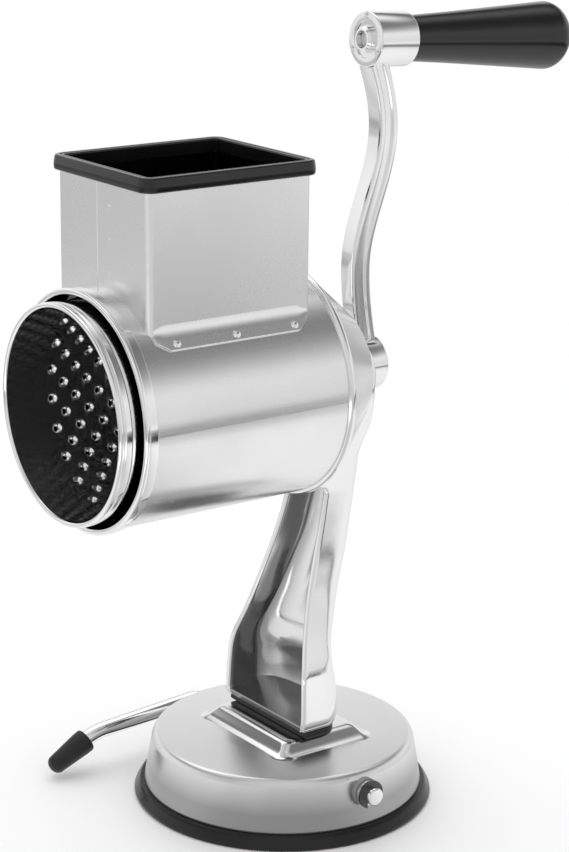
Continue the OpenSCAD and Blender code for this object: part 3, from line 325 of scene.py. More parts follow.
def finishMesh(name, mesh, material, recalc=True, sharp=meshSet["sharp"]):
    shape = bmesh.new()
    shape.from_mesh(mesh)
    bmesh.ops.remove_doubles(shape, verts=shape.verts, dist=meshSet["weld"])
    bmesh.ops.dissolve_degenerate(shape, edges=shape.edges, dist=meshSet["least"])
    if recalc:
        bmesh.ops.recalc_face_normals(shape, faces=shape.faces)
    shape.to_mesh(mesh)
    shape.free()
    mesh.materials.clear()
    mesh.materials.append(material)
    mesh.shade_smooth()
    mesh.set_sharp_from_angle(angle=radians(sharp))
    return linked(name, mesh)


def linked(name, data):
    made = bpy.data.objects.new(name, data)
    scene.collection.objects.link(made)
    return made


def joinPieces(name, parts):
    shape = bmesh.new()
    for part in parts:
        shape.from_mesh(part.data)
    mesh = bpy.data.meshes.new(name)
    shape.to_mesh(mesh)
    shape.free()
    mesh.materials.append(parts[0].data.materials[0])
    for part in parts:
        bpy.data.objects.remove(part)
    return linked(name, mesh)


def settle(piece, body, slotName, *stoodFor):
    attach(piece, body)
    if stoodFor:
        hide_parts(*stoodFor)


def shifted(points, x, y):  # an outline that a dictionary gives from one of its corners
    return [(x + point[0], y + point[1], *point[2:]) for point in points]


def softLine(points, closed=False, steps=5):  # a third number rounds its corner by that radius
    line = []
    count = len(points)
    for i, point in enumerate(points):
        radius = point[2] if len(point) > 2 else 0
        here = Vector(point[:2])
        if radius <= 0 or (not closed and i in (0, count - 1)):
            line.append((here.x, here.y))
            continue
        one = Vector(points[i - 1][:2]) - here
        two = Vector(points[(i + 1) % count][:2]) - here
        half = one.angle(two) / 2
        reach = min(radius / tan(half), one.length * 0.49, two.length * 0.49)  # just under half a side
        fillet = reach * tan(half)
        one.normalize()
        two.normalize()
        centre = here + (one + two).normalized() * (fillet / sin(half))
        first = here + one * reach - centre
        last = here + two * reach - centre
        start = atan2(first.y, first.x)
        bend = (atan2(last.y, last.x) - start + pi) % turn - pi
        for k in range(steps + 1):
            a = start + bend * k / steps
            line.append((centre.x + fillet * cos(a), centre.y + fillet * sin(a)))
    return line


def arcLine(x, y, rx, ry, low, high, steps):
    angles = [radians(low + (high - low) * k / steps) for k in range(steps + 1)]
    return [(x + rx * cos(a), y + ry * sin(a)) for a in angles]


def lathe(profile, steps, spot):
    verts, faces, rings = [], [], []
    for radius, along in profile:
        if radius < meshSet["centre"]:
            rings.append([len(verts)])
            verts.append(spot(0, 0, along))
        else:
            rings.append(list(range(len(verts), len(verts) + steps)))
            verts += [spot(radius, turn * i / steps, along) for i in range(steps)]
    pairs = list(zip(rings, rings[1:]))
    if len(rings[0]) > 1 and len(rings[-1]) > 1:
        pairs.append((rings[-1], rings[0]))
    for a, b in pairs:
        for i in range(steps):
            j = (i + 1) % steps
            if len(a) == 1 and len(b) > 1:
                faces.append((a[0], b[i], b[j]))
            elif len(b) == 1 and len(a) > 1:
                faces.append((a[i], b[0], a[j]))
            elif len(a) > 1:
                faces.append((a[i], b[i], b[j], a[j]))
    return verts, faces


def latheObject(name, line, steps, spot, material):
    return makeObject(name, *lathe(line, steps, spot), material)


def drumSpot(radius, angle, along):
    return (radius * cos(angle), along, axisHeight + radius * sin(angle))


def baseSpot(radius, angle, along):
    return (radius * cos(angle), radius * sin(angle), along)


def spotOn(origin, axis, across=(1, 0, 0)):
    along, side = Vector(axis).normalized(), Vector(across)
    over = along.cross(side)
    origin = Vector(origin)

    def spot(radius, angle, distance):
        return tuple(origin + along * distance + (side * cos(angle) + over * sin(angle)) * radius)
    return spot


def axleSpot(x=0, way=1):
    return spotOn((x, 0, axleHeight), (way, 0, 0), (0, 1, 0))


def skinRings(rings, ends=None):
    verts = [p for ring in rings for p in ring]
    n = len(rings[0])
    faces = []
    for s in range(len(rings) - 1):
        for i in range(n):
            j = (i + 1) % n
            faces.append((s * n + i, (s + 1) * n + i, (s + 1) * n + j, s * n + j))
    last = (len(rings) - 1) * n
    if ends == "strips":  # for a ring that is its own mirror image
        for k in range(n // 2 - 1):
            faces.append((k, k + 1, n - 2 - k, n - 1 - k))
            faces.append((last + n - 1 - k, last + n - 2 - k, last + k + 1, last + k))
    elif ends == "flat":
        faces += [tuple(range(n)), tuple(range(last, last + n))]
    return verts, faces


def between(table, share):  # a smooth curve through evenly spaced values
    spot = share * (len(table) - 1)
    i = min(int(spot), len(table) - 2)
    t = spot - i
    a, b = table[i], table[i + 1]
    before = table[max(i - 1, 0)]
    after = table[min(i + 2, len(table) - 1)]
    m0, m1 = (b - before) / 2, (after - a) / 2
    return ((2 * t ** 3 - 3 * t ** 2 + 1) * a + (t ** 3 - 2 * t ** 2 + t) * m0
            + (3 * t ** 2 - 2 * t ** 3) * b + (t ** 3 - t ** 2) * m1)


def held01(value):
    return min(1.0, max(0.0, value))


# geometry node trees
def startTree(name, sockets):
    tree = bpy.data.node_groups.new(name, "GeometryNodeTree")
    tree.interface.new_socket("Geometry", in_out="INPUT", socket_type="NodeSocketGeometry")
    tree.interface.new_socket("Geometry", in_out="OUTPUT", socket_type="NodeSocketGeometry")
    for label, kind in sockets:
        tree.interface.new_socket(label, in_out="INPUT", socket_type="NodeSocket" + kind)
    return tree, tree.nodes.new("NodeGroupInput"), tree.nodes.new("NodeGroupOutput")


def closeTree(tree, geometry, entry, leave):
    real = addNode(tree, "RealizeInstances", {"Geometry": geometry})
    coat = addNode(tree, "SetMaterial", {"Geometry": real.outputs[0], "Material": entry.outputs["Material"]})
    tree.links.new(coat.outputs[0], leave.inputs[0])


def meshOf(piece):
    bpy.context.view_layer.update()
    return bpy.data.meshes.new_from_object(piece.evaluated_get(bpy.context.evaluated_depsgraph_get()))


def bakeTree(name, start, tree, values, material, sharp):
    modifier = start.modifiers.new("nodes", "NODES")
    modifier.node_group = tree
    for item in tree.interface.items_tree:
        if item.in_out == "INPUT" and item.name in values:
            modifier[item.identifier] = values[item.name]
    mesh = meshOf(start)
    start.modifiers.remove(modifier)
    bpy.data.objects.remove(start)
    mesh.name = name
    return finishMesh(name, mesh, material, sharp=sharp)


def pathObject(points, closed=False):
    edges = [(i, i + 1) for i in range(len(points) - 1)] + ([(len(points) - 1, 0)] if closed else [])
    return linked("path", newMesh("path", points, edges))


def sweepTree(flatLoop):
    tree, entry, leave = startTree("sweepAlongPath", [("Section", "Object"), ("Material", "Material")])
    path = addNode(tree, "MeshToCurve", {"Mesh": entry.outputs["Geometry"]})
    flat = addNode(tree, "SetCurveNormal", {"Curve": path.outputs[0]},
                   mode="Z_UP" if flatLoop else "MINIMUM_TWIST")
    held = addNode(tree, "ObjectInfo", {"Object": entry.outputs["Section"]})
    outline = addNode(tree, "MeshToCurve", {"Mesh": held.outputs["Geometry"]})
    swept = addNode(tree, "CurveToMesh", {"Curve": flat.outputs[0], "Profile Curve": outline.outputs[0],
                                          "Fill Caps": True})
    closeTree(tree, swept.outputs[0], entry, leave)
    return tree


def sweep(name, points, section, material, closed=False, sharp=meshSet["sharp"]):
    outline = pathObject([(x, y, 0) for x, y in section], closed=True)
    values = {"Section": outline, "Material": material}
    made = bakeTree(name, pathObject(points, closed), sweepTree(closed), values, material, sharp)
    bpy.data.objects.remove(outline)
    return made


def placeTree():
    tree, entry, leave = startTree("placeOnPoints", [("Piece", "Object"), ("Size", "Float"),
                                                     ("Merge", "Float"), ("Material", "Material")])
    points = addNode(tree, "MeshToPoints", {"Mesh": entry.outputs["Geometry"]})
    held = addNode(tree, "ObjectInfo", {"Object": entry.outputs["Piece"]})
    turned = addNode(tree, "InputNamedAttribute", {"Name": "turned"}, data_type="FLOAT_VECTOR")
    spread = addNode(tree, "InstanceOnPoints", {
        "Points": points.outputs[0], "Instance": held.outputs["Geometry"], "Rotation": turned.outputs[0],
        "Scale": entry.outputs["Size"]})
    real = addNode(tree, "RealizeInstances", {"Geometry": spread.outputs[0]})
    merged = addNode(tree, "MergeByDistance", {"Geometry": real.outputs[0],
                                               "Distance": entry.outputs["Merge"]})
    closeTree(tree, merged.outputs[0], entry, leave)
    return tree


def placeAll(name, unit, spots, material, merge=0.0, sharp=meshSet["sharp"]):
    mesh = newMesh("spots", [place for place, turned in spots])
    held = mesh.attributes.new("turned", "FLOAT_VECTOR", "POINT")
    for i, (place, turned) in enumerate(spots):
        held.data[i].vector = turned
    values = {"Piece": unit, "Size": 1.0, "Merge": merge / 1000, "Material": material}
    made = bakeTree(name, linked("spots", mesh), placeTree(), values, material, sharp)
    bpy.data.objects.remove(unit)
    return made


def trimWith(piece, cutters, operation="DIFFERENCE"):
    for cutter in cutters:
        change = piece.modifiers.new("trim", "BOOLEAN")
        change.operation, change.solver, change.object = operation, "EXACT", cutter
    mesh = meshOf(piece)
    name, material = piece.name, piece.data.materials[0]
    for old in [piece] + cutters:
        bpy.data.objects.remove(old)
    return finishMesh(name, mesh, material)


def roundedRing(half, deep, back, corner, z, steps=8):
    ring = []
    for cx, cy, low in ((half, deep, 0), (-half, deep, 90), (-half, -deep, 180), (half, -deep, 270)):
        x = cx - copysign(corner, cx)
        y = cy - copysign(corner, cy)
        ring += [(px, py + back, z) for px, py in arcLine(x, y, corner, corner, low, low + 90, steps)]
    return ring


def blockAt(name, halfX, halfY, low, high, material, corner=0.5, steps=3):
    rings = [roundedRing(halfX, halfY, 0, corner, z, steps) for z in (low, high)]
    return makeObject(name, *skinRings(rings, "strips"), material)


def rodAt(name, radius, start, end, spot, material, steps=48):
    return latheObject(name, [(0, start), (radius, start), (radius, end), (0, end)], steps, spot, material)


print("helpers ready")


# suction cup: rubber ring with a moulding line; lip points go out from the rim and up, with their rounding
cup = {"outer": 62.5, "widest": 1.2, "high": 5.6, "slope": 2.0, "seat": 58.2, "wall": 2.6, "gap": 0.5,
       "membrane": 2.4, "bossR": 19.0, "bossHigh": 4.0, "sealR": 47.0, "seal": 0.8, "sealStep": 3.2,
       "sealSoft": (0.2, 0.3), "lip": [(-0.5, 0, 0.5), (0, 0.7, 0.6), (0, 1.7, 1.2), (-1.8, 4.7, 1.6)],
       "topSoft": 0.6, "rimSoft": 0.4, "fallSoft": 1.5, "footSoft": 1.0, "bossSoft": 0.5, "steps": 192}


def makeCup(c):
    inner = c["seat"] - c["wall"] - c["gap"]
    ridge = c["high"] + c["widest"]
    grooves = []
    for start in (c["sealR"], c["sealR"] + c["sealStep"]):
        corners = [(0, 0), (0, c["seal"]), (c["seal"], c["seal"]), (c["seal"], 0)]
        grooves += [(start + out, up, c["sealSoft"][1 if up else 0]) for out, up in corners]
    line = softLine([(0, 0)] + grooves + shifted(c["lip"], c["outer"], 0) + [
        (c["outer"] - c["slope"] - c["widest"] / 2, c["high"], c["topSoft"]), (inner, c["high"]),
        (inner, ridge, c["rimSoft"]), (c["seat"] - 2 * c["wall"], ridge, c["rimSoft"]),
        (c["seat"] - 3 * c["wall"], c["membrane"], c["fallSoft"]),
        (c["bossR"], c["membrane"], c["footSoft"]), (c["bossR"], c["bossHigh"], c["bossSoft"]),
        (0, c["bossHigh"])])
    return latheObject("suctionCupRubber", line, c["steps"], baseSpot, rubber)


settle(makeCup(cup), "base", "black_rubber", "suction_cup")


# base dome: spun shell, hollow underneath, and a soft cast pad; brow points are measured from the shoulder,
# hem points from the outer foot and eave points from the shoulder's inside
dome = {"foot": 5.6, "outer": 58.2, "lean": 3.4, "shoulder": 27.4, "crown": 1.0, "crownShare": 0.9,
        "crownSoft": 40, "wall": 2.6, "brow": [(-1.2, -0.2, 3.0), (0.3, -3, 1.5)],
        "hem": [(0, 1, 0.8), (0, 0, 0.3), (-2.6, 0, 0.3)], "eave": [(0.4, -1.5, 2.0), (-3, 0)],
        "steps": 192, "arcSteps": 8}
domeInside = {"bossR": 9.66, "bossIn": 48.8, "bossOut": 54.2, "boreR": 5.66, "roofLap": 0.8, "past": 1,
              "pocketX": 4.9, "pocketY": 11.4, "pocketTop": 30.7, "screwR": 2.5, "screwX": 15.0,
              "screwY": 9.0}
pad = {"half": 29.0, "deep": 22.2, "back": 1.2, "top": 33.0, "skirt": 6.5, "sink": 0.12, "start": 0.2,
       "skirtSoft": 9.0, "brow": 4.6, "browSoft": 4.2, "flat": 9.5, "corner": 4.8, "cornerGain": 0.85,
       "leastCorner": 3.2, "follow": 3, "fall": 0.0452, "arcSteps": 12}  # fall: the dome's own slope


def underCutters(d, i):  # pocket for the frame's stroke and the screws' holes
    low = d["shoulder"] - d["wall"] - i["past"]
    cutters = [blockAt("pocket", i["pocketX"], i["pocketY"], low, i["pocketTop"], satinDome)]
    for x in (-i["screwX"], i["screwX"]):
        cutters.append(rodAt("screwHole", i["screwR"], low, pad["top"] + i["past"],
                             spotOn((x, i["screwY"], 0), (0, 0, 1)), satinDome))
    return cutters


def bossedShell(d, i, shell):  # bosses round the axle's bushes, below the roof only
    bosses = []
    roof = d["shoulder"] - d["wall"] + i["roofLap"]
    for side in (1, -1):
        boss = rodAt("axleBoss", i["bossR"], i["bossIn"], i["bossOut"], axleSpot(way=side), satinDome)
        room = blockAt("bossRoom", d["outer"], d["outer"], d["foot"], roof, satinDome)
        bosses.append(trimWith(boss, [room], "INTERSECT"))
    shell = trimWith(shell, bosses, "UNION")
    reach = d["outer"] + i["past"]
    bore = rodAt("axleBore", i["boreR"], -reach, reach, axleSpot(), satinDome)
    return trimWith(shell, underCutters(d, i) + [bore])


def makeDome(d):
    top, rim = d["shoulder"], d["outer"] - d["lean"]
    crown = [(0, top + d["crown"]), (pad["half"], top + d["crown"] * d["crownShare"], d["crownSoft"])]
    line = softLine(crown + shifted(d["brow"], rim, top) + shifted(d["hem"], d["outer"], d["foot"])
                    + shifted(d["eave"], rim - d["wall"], top - d["wall"]) + [(0, top - d["wall"])],
                    steps=d["arcSteps"])
    return latheObject("domeShell", line, d["steps"], baseSpot, satinDome)


def makePad(d, p):
    roof = d["shoulder"] + d["crown"] * d["crownShare"]
    high = p["top"] - roof
    profile = softLine([(p["skirt"], -p["sink"]), (p["start"], 0.0, p["skirtSoft"]),
                        (-p["brow"], high, p["browSoft"]), (-p["flat"], high)], steps=p["arcSteps"])
    rings = []
    for inset, lift in profile:
        corner = max(p["leastCorner"], p["corner"] + p["cornerGain"] * inset)
        ring = roundedRing(p["half"] + inset, p["deep"] + inset, p["back"], corner, roof + lift)
        fall = held01((inset + p["follow"]) / p["follow"]) * p["fall"]
        rings.append([(x, y, z - fall * max(0.0, hypot(x, y) - p["half"])) for x, y, z in ring])
    return makeObject("domePad", *skinRings(rings, "flat"), satinPad)


domeShell = makeDome(dome)
domePad = makePad(dome, pad)
settle(bossedShell(dome, domeInside, domeShell), "base", "cast_steel", "base_dome")
settle(trimWith(domePad, underCutters(dome, domeInside)), "base", "polished_steel", "base_dome")
print("base made")


# stand: bowed channel column, bell and hub; the column's shares follow it from foot to bell
column = {"footZ": 36.2, "rise": 144.2, "half": 28.1, "deep": 24.8, "front": 10.4, "lean": 23.4, "wall": 2.7,
          "flangeShare": 0.22, "bowShare": 0.5, "sideShare": 0.7, "backShare": 0.6, "fuller": 0.24,
          "fullerRise": 0.68, "rows": 110, "bow": 18, "flange": 4, "nose": 8, "noseShare": 0.9,
          "noseEnd": 0.95, "hollowFrom": 0.04, "hollowRate": 12, "hollowTo": 0.86, "hollowFade": 0.3}
columnShares = {
    "rise": [0, 0.006, 0.014, 0.024, 0.05, 0.09, 0.125, 0.155, 0.175, 0.2, 0.23, 0.265, 0.31, 0.37, 0.43,
             0.5, 0.58, 0.637, 0.68, 0.695, 0.72, 0.76, 0.803, 0.845, 0.886, 0.928, 0.969, 1.011, 1.053,
             1.087, 1.119, 1.143],
    "half": [0.936, 0.968, 0.989, 1, 1, 0.992, 0.98, 0.967, 0.95, 0.92, 0.865, 0.803, 0.736, 0.665, 0.61,
             0.555, 0.515, 0.495, 0.488, 0.512, 0.548, 0.615, 0.676, 0.745, 0.818, 0.865, 0.877, 0.84, 0.77,
             0.67, 0.54, 0.36],
    "lean": [0.03, 0.012, 0.002, 0, 0.009, 0.016, 0.024, 0.037, 0.054, 0.085, 0.138, 0.203, 0.285, 0.39,
             0.504, 0.64, 0.782, 0.86, 0.885, 0.556, 0.658, 0.872, 1.085, 1.214, 1.256, 1.256, 1.256, 1.256,
             1.256, 1.214, 1.171, 1.128],
    "deep": [0.94, 0.976, 0.992, 1, 1, 0.989, 0.97, 0.925, 0.895, 0.868, 0.841, 0.839, 0.844, 0.845, 0.846,
             0.838, 0.783, 0.758, 0.754, 1.06, 0.96, 0.726, 0.509, 0.424, 0.383, 0.371, 0.379, 0.456, 0.435,
             0.427, 0.395, 0.343]}


def mirrored(side):
    return [(-x, y) for x, y in side[-2::-1]]


def columnSide(c, half, front, deep, wall, full=0.0):
    straight = front + max(c["flangeShare"] * c["deep"], deep - c["bowShare"] * c["deep"])
    back = front + deep - wall
    x = half - wall
    pull = straight + (c["sideShare"] + full) * (back - straight)
    side = [(x, front + (straight - front) * k / c["flange"]) for k in range(c["flange"])]
    for i in range(c["bow"] + 1):
        t = i / c["bow"]
        u = 1 - t
        side.append((u ** 3 * x + 3 * u * u * t * x + 3 * u * t * t * (c["backShare"] + full) * x,
                     u ** 3 * straight + 3 * u * u * t * pull + (3 * u * t * t + t ** 3) * back))
    return side


def columnRing(c, share):
    rise, halfShare, lean, deepShare = (between(table, share) for table in columnShares.values())
    half, front, deep = c["half"] * halfShare, -c["front"] + c["lean"] * lean, c["deep"] * deepShare
    full = c["fuller"] * min(1, (rise / c["fullerRise"]) ** 4)
    tip = c["wall"] / 2
    nose = [(half - tip + tip * cos(a), front + tip * c["noseShare"] * (1 - sin(a)))
            for a in (pi * k / c["nose"] for k in range(c["nose"] + 1))]
    outside, inside = ([p for p in columnSide(c, half, front, deep, wall, full)
                        if p[1] > front + tip * c["noseEnd"]] for wall in (0, c["wall"]))
    middle = c["nose"] // 2
    outside = nose[:middle + 1][::-1] + outside
    inside = nose[middle + 1:] + inside
    outside += mirrored(outside)
    inside = (inside + mirrored(inside))[::-1]
    # painted shade: marks on the inner skin, strongest deep in the channel's hollow
    marks = [0.0] * len(outside)
    for x, y in inside:
        depth = (y - front) / deep
        marks.append(held01((depth - c["hollowFrom"]) * c["hollowRate"])
                     * held01((c["hollowTo"] - depth) / c["hollowFade"]))
    return [(x, y, c["footZ"] + c["rise"] * rise) for x, y in outside + inside], marks


def makeStand(c):
    rows = [columnRing(c, k / (c["rows"] - 1)) for k in range(c["rows"])]
    return makeObject("standColumn", *skinRings([ring for ring, marks in rows], "strips"), columnSteel,
                      marks=[m for ring, marks in rows for m in marks])


bell = {"rimY": -4.2, "rimR": 47.9, "rimWide": 3.3, "neckR": 24.9, "neckSoft": 7.0, "neckIn": 23.4,
        "deep": 23.6, "turnR": 9.0, "turnTo": 45, "wall": 3.0, "wallShare": 0.8, "socket": 2.0,
        "hubR": 13.6, "hubY": 30.6, "hubFront": 14.6, "hubWall": 0.9, "boreR": 7.06,
        "mouth": (0.2, 0.1, 0.8), "rimTurn": (70, -90, 14),
        "seat": (0.9, 1.6, 1.5), "outerSoft": (1.0, 2.0), "innerSoft": (1.0, 5.0, 1.0, 0.5, 0.3, 0.4),
        "outerSteps": 10, "innerSteps": 6, "steps": 256}


def makeBell(b):
    coneY = b["rimY"] + b["rimWide"]
    backY = coneY + b["deep"]
    backTop = backY + b["turnR"] * (1 - sin(radians(b["turnTo"])))
    sill, rimHalf, innerHub = b["rimY"] + b["socket"], b["rimWide"] / 2, b["hubR"] - b["hubWall"]
    shelf, fillet, rise = b["seat"]
    soft = b["innerSoft"]
    outer = [(b["hubR"], b["hubY"], b["outerSoft"][0]), (b["hubR"], backTop, b["outerSoft"][1]),
             (b["neckR"], backTop, b["neckSoft"]),
             (tubeOut + b["mouth"][0], coneY + b["mouth"][1], b["mouth"][2])]
    rim = arcLine(b["rimR"] - rimHalf, b["rimY"] + rimHalf, rimHalf, rimHalf, *b["rimTurn"])
    inner = [(tubeOut, b["rimY"]), (tubeOut, sill), (tubeOut - shelf, sill),
             (tubeOut - fillet, coneY + rise, soft[0]),
             (b["neckIn"], backY - b["wall"] * b["wallShare"], soft[1]),
             (innerHub, backTop - b["wall"], soft[2]), (innerHub, b["hubFront"], soft[3]),
             (b["boreR"], b["hubFront"], soft[4]), (b["boreR"], b["hubY"], soft[5])]
    line = softLine(outer, steps=b["outerSteps"]) + rim + softLine(inner, steps=b["innerSteps"])
    return latheObject("standBell", line, b["steps"], drumSpot, polished)


settle(makeStand(column), "base", "polished_steel", "stand")
settle(makeBell(bell), "base", "polished_steel", "stand")


# the stand's floor, which rises from a thin front edge to the screws' seat
floorPart = {"front": 2.2, "back": 6.6, "inset": 1.35, "under": 0.05, "startY": 0.7, "lowBack": 0.35,
             "soft": 0.5, "topShare": 0.985, "topBack": 0.4}


def makeStandFloor(c, f):
    side = columnSide(c, c["half"], -c["front"] + f["inset"] / 2, c["deep"] - f["inset"] / 2, f["inset"])
    low, middle, top = [], [], []
    for x, y in side + mirrored(side):
        share = held01((y + c["front"] - f["startY"]) / (c["deep"] - f["startY"]))
        high = f["front"] + (f["back"] - f["front"]) * share
        low.append((x, y + f["lowBack"], c["footZ"] + f["under"]))
        middle.append((x, y, c["footZ"] + high - f["soft"]))
        top.append((x * f["topShare"], y + f["topBack"], c["footZ"] + high))
    return makeObject("standFloor", *skinRings([low, middle, top], "strips"), shadedFloorSteel)


settle(makeStandFloor(column, floorPart), "base", "polished_steel", "stand")


# black gasket under the foot, set in from its edge
gasket = {"inset": 1.3, "frontInset": 2.4, "low": 32.95, "high": 36.25, "soft": 0.5}


def makeGasket(c, g):
    rings = []
    for inset, z in ((g["soft"], g["low"]), (0, g["low"] + g["soft"]),
                     (0, g["high"] - g["soft"]), (g["soft"], g["high"])):
        side = columnSide(c, c["half"], -c["front"], c["deep"], g["inset"] + inset)
        outline = [(x, max(y, -c["front"] + g["frontInset"] + inset)) for x, y in side]
        rings.append([(x, y, z) for x, y in outline + mirrored(outline)])
    return makeObject("footGasket", *skinRings(rings, "strips"), mattBlack)


settle(makeGasket(column, gasket), "base", "matt_black", "foot_plinth")
print("stand made")


# collar on the tube's mouth and ring on the drum's mouth, both rolled from thin sheet;
# a band's points are measured out from its own radius and back from the mouth
collar = {"mouthY": -97.8, "rise": 1.2, "lap": 0.02, "lipWide": 1.25, "lipDeep": 0.75, "lipY": 0.35,
          "lipTurn": (180, 360, 14), "lipFrom": 3, "steps": 256,
          "band": [(0, 0.45), (-0.02, 0.9, 0.3), (-0.28, 1.25, 0.3), (-0.2, 1.7, 0.5), (-0.12, 4.85, 0.3),
                   (-0.55, 5.2, 0.3), (-1.2, 5.2)]}
drumRing = {"frontY": -106.8, "rise": 0.6, "beadR": 1.1, "beadOut": 0.15, "beadTurn": (170, 372, 22),
            "lap": 0.1, "steps": 256,
            "band": [(-0.35, 2.35), (-0.35, 2.55, 0.2), (0.02, 2.95, 0.4), (0, 5.3, 0.4), (-0.45, 5.8, 0.2),
                     (-0.6, 5.8)]}


def makeCollar(c):
    out, y = tubeOut + c["rise"], c["mouthY"]
    lip = arcLine(out - c["lipWide"], y + c["lipY"], c["lipWide"], c["lipDeep"], *c["lipTurn"])
    line = [(tubeIn + c["lap"], y)] + lip[c["lipFrom"]:] + softLine(shifted(c["band"], out, y))
    return latheObject("mouthCollar", line + [(tubeOut, y)], c["steps"], drumSpot, brightTrim)


def makeDrumRing(c):
    out, y, r = drumOut + c["rise"], c["frontY"], c["beadR"]
    bead = arcLine(out - r + c["beadOut"], y + r, r, r, *c["beadTurn"])[1:]
    line = [(drumIn, y + r)] + bead + softLine(shifted(c["band"], out, y)) + [(drumOut, y + r + c["lap"])]
    return latheObject("drumRing", line, c["steps"], drumSpot, brightTrim)


settle(makeCollar(collar), "base", "polished_steel", "mouth_collar")
settle(makeDrumRing(drumRing), "drive", "polished_steel", "drum_ring")
print("mouth made")


# drum: one rasp tooth is a pierced cell of the shell, laid round it by nodes
drum = {"front": -105.7, "back": -2.2, "firstRow": -85.0, "rows": 14, "pitch": 5.4, "count": 22,
        "haloR": 2.5, "slopeR": 2.05, "slopeDeep": 0.14, "throatR": 1.3, "throatDeep": 1.1,
        "tipR": 0.85, "tipRise": 1.0, "tipWall": 0.25, "tipShare": 0.92, "footR": 1.9, "plainSteps": 6,
        "merge": 0.01, "sharp": 50, "cellSharp": 60}


def makeRaspCell(d):
    step = turn / d["count"]
    half = d["pitch"] / 2
    # the cell's edge, in shares of its width round the drum and in millimetres along it
    edge = [(a, -half) for a in (-0.5, -0.25, 0, 0.25)] + [(0.5, -half), (0.5, 0)]
    edge += [(a, half) for a in (0.5, 0.25, 0, -0.25)] + [(-0.5, half), (-0.5, 0)]
    loops = [("edge", drumIn), (d["haloR"], drumIn), (d["slopeR"], drumIn + d["slopeDeep"]),
             (d["throatR"], drumIn + d["throatDeep"]), (d["tipR"], drumOut + d["tipRise"]),
             (d["tipR"] + d["tipWall"], drumOut + d["tipRise"] * d["tipShare"]),
             (d["footR"], drumOut), ("edge", drumOut)]
    verts, faces = [], []
    for size, radius in loops:
        for share, along in edge:
            arc = share * step * drumIn
            if size != "edge":
                reach = hypot(arc, along)
                arc, along = arc * size / reach, along * size / reach
            angle = arc / drumIn
            verts.append((radius * cos(angle), along, -radius * sin(angle)))
    n = len(edge)
    for s in range(len(loops) - 1):
        for i in range(n):
            j = (i + 1) % n
            faces.append((s * n + i, s * n + j, (s + 1) * n + j, (s + 1) * n + i))
    return makeObject("raspCell", verts, faces, drumSteel, recalc=False, sharp=d["cellSharp"])


def makePlainEnd(d, rim, seam):  # plain stretch from a rim to the seam with the pierced cells
    shares = [k / d["plainSteps"] for k in range(d["plainSteps"] + 1)]
    line = [(drumIn, seam + (rim - seam) * share) for share in shares]
    line += [(drumOut, along) for radius, along in line[::-1]]
    steps = 4 * d["count"]
    verts, faces = lathe(line, steps, drumSpot)
    return makeObject("plain", verts, faces[:-steps], drumSteel)  # the side at the seam stays open


def makeDrum(d):
    step = turn / d["count"]
    spots = []
    for row in range(d["rows"]):
        for j in range(d["count"]):
            angle = (j + (0.5 if row % 2 == 0 else 0)) * step
            spots.append(((0, d["firstRow"] + d["pitch"] * row, axisHeight), (0, angle, 0)))
    cells = placeAll("raspCells", makeRaspCell(d), spots, drumSteel, d["merge"], d["sharp"])
    low, high = d["firstRow"] - d["pitch"] / 2, d["firstRow"] + d["pitch"] * (d["rows"] - 0.5)
    ends = [makePlainEnd(d, d["front"], low), makePlainEnd(d, d["back"], high)]
    whole = joinPieces("raspDrum", [cells] + ends)
    mesh = whole.data
    bpy.data.objects.remove(whole)
    return finishMesh("raspDrum", mesh, drumSteel, sharp=d["sharp"])


settle(makeDrum(drum), "drive", "satin_steel", "drum_shell")
print("drum made")


# hopper: folded sheet with a lapped seam, bent softly into a flap along each side
hopper = {"top": 271.8, "lap": 0.15, "cornerSteps": 8, "seamX": -3.6, "seamWide": 0.8, "seamDeep": 0.35,
          "seamShares": (0.3, 0.7), "rivetTurn": 41.7, "rivets": (-76.75, -49.75, -22.75), "rivetR": 1.7,
          "rivetHigh": 1.05, "rivetSteps": 16, "welds": (233.5, 246.2, 258.9), "weldX": 5.3, "weldR": 1.3,
          "weldHigh": 0.1, "weldSink": 0.02, "weldSkirt": 0.2, "weldSteps": 20}
flap = {"low": 38.9, "high": 46.5, "cornerShare": 0.75, "chamfer": 6.8, "frontRate": 0.6, "backShare": 1.2,
        "backRate": 0.667, "most": 0.98, "bendR": 8.5, "upright": 9, "inner": 1, "lap": 0.01, "gap": 0.04,
        "hem": 0.45, "hemTurn": (0.25, 0.3), "rows": 60, "bendSteps": 16, "underSteps": 8}


def hopperOutline(h, inset):
    corner = hopperCorner - inset
    x, front, back = hopperHalf - inset, hopperFront + inset, hopperBack - inset
    line = []
    for cx, cy, low in ((x, back, 0), (-x, back, 90), (-x, front, 180), (x, front, 270)):
        mx, my = cx - copysign(corner, cx), cy + (corner if cy == front else -corner)
        line += arcLine(mx, my, corner, corner, low, low + 90, h["cornerSteps"])
        if low == 180:
            first, last = (h["seamX"] + h["seamWide"] * share for share in h["seamShares"])
            step = 0 if inset else h["seamDeep"]
            line += [(h["seamX"], front), (first, front + step), (last, front + step),
                     (h["seamX"] + h["seamWide"], front)]
    return line


def makeHopperBox(h):
    rows = []
    for inset, order in ((0, 1), (sheetWall, -1)):
        line = hopperOutline(h, inset)
        foot = [(x, y, axisHeight + sqrt((tubeOut - h["lap"]) ** 2 - x * x)) for x, y in line]
        rows += [foot, [(x, y, h["top"]) for x, y in line]][::order]
    return makeObject("hopperBox", *skinRings(rows + rows[:1]), satinSheet)


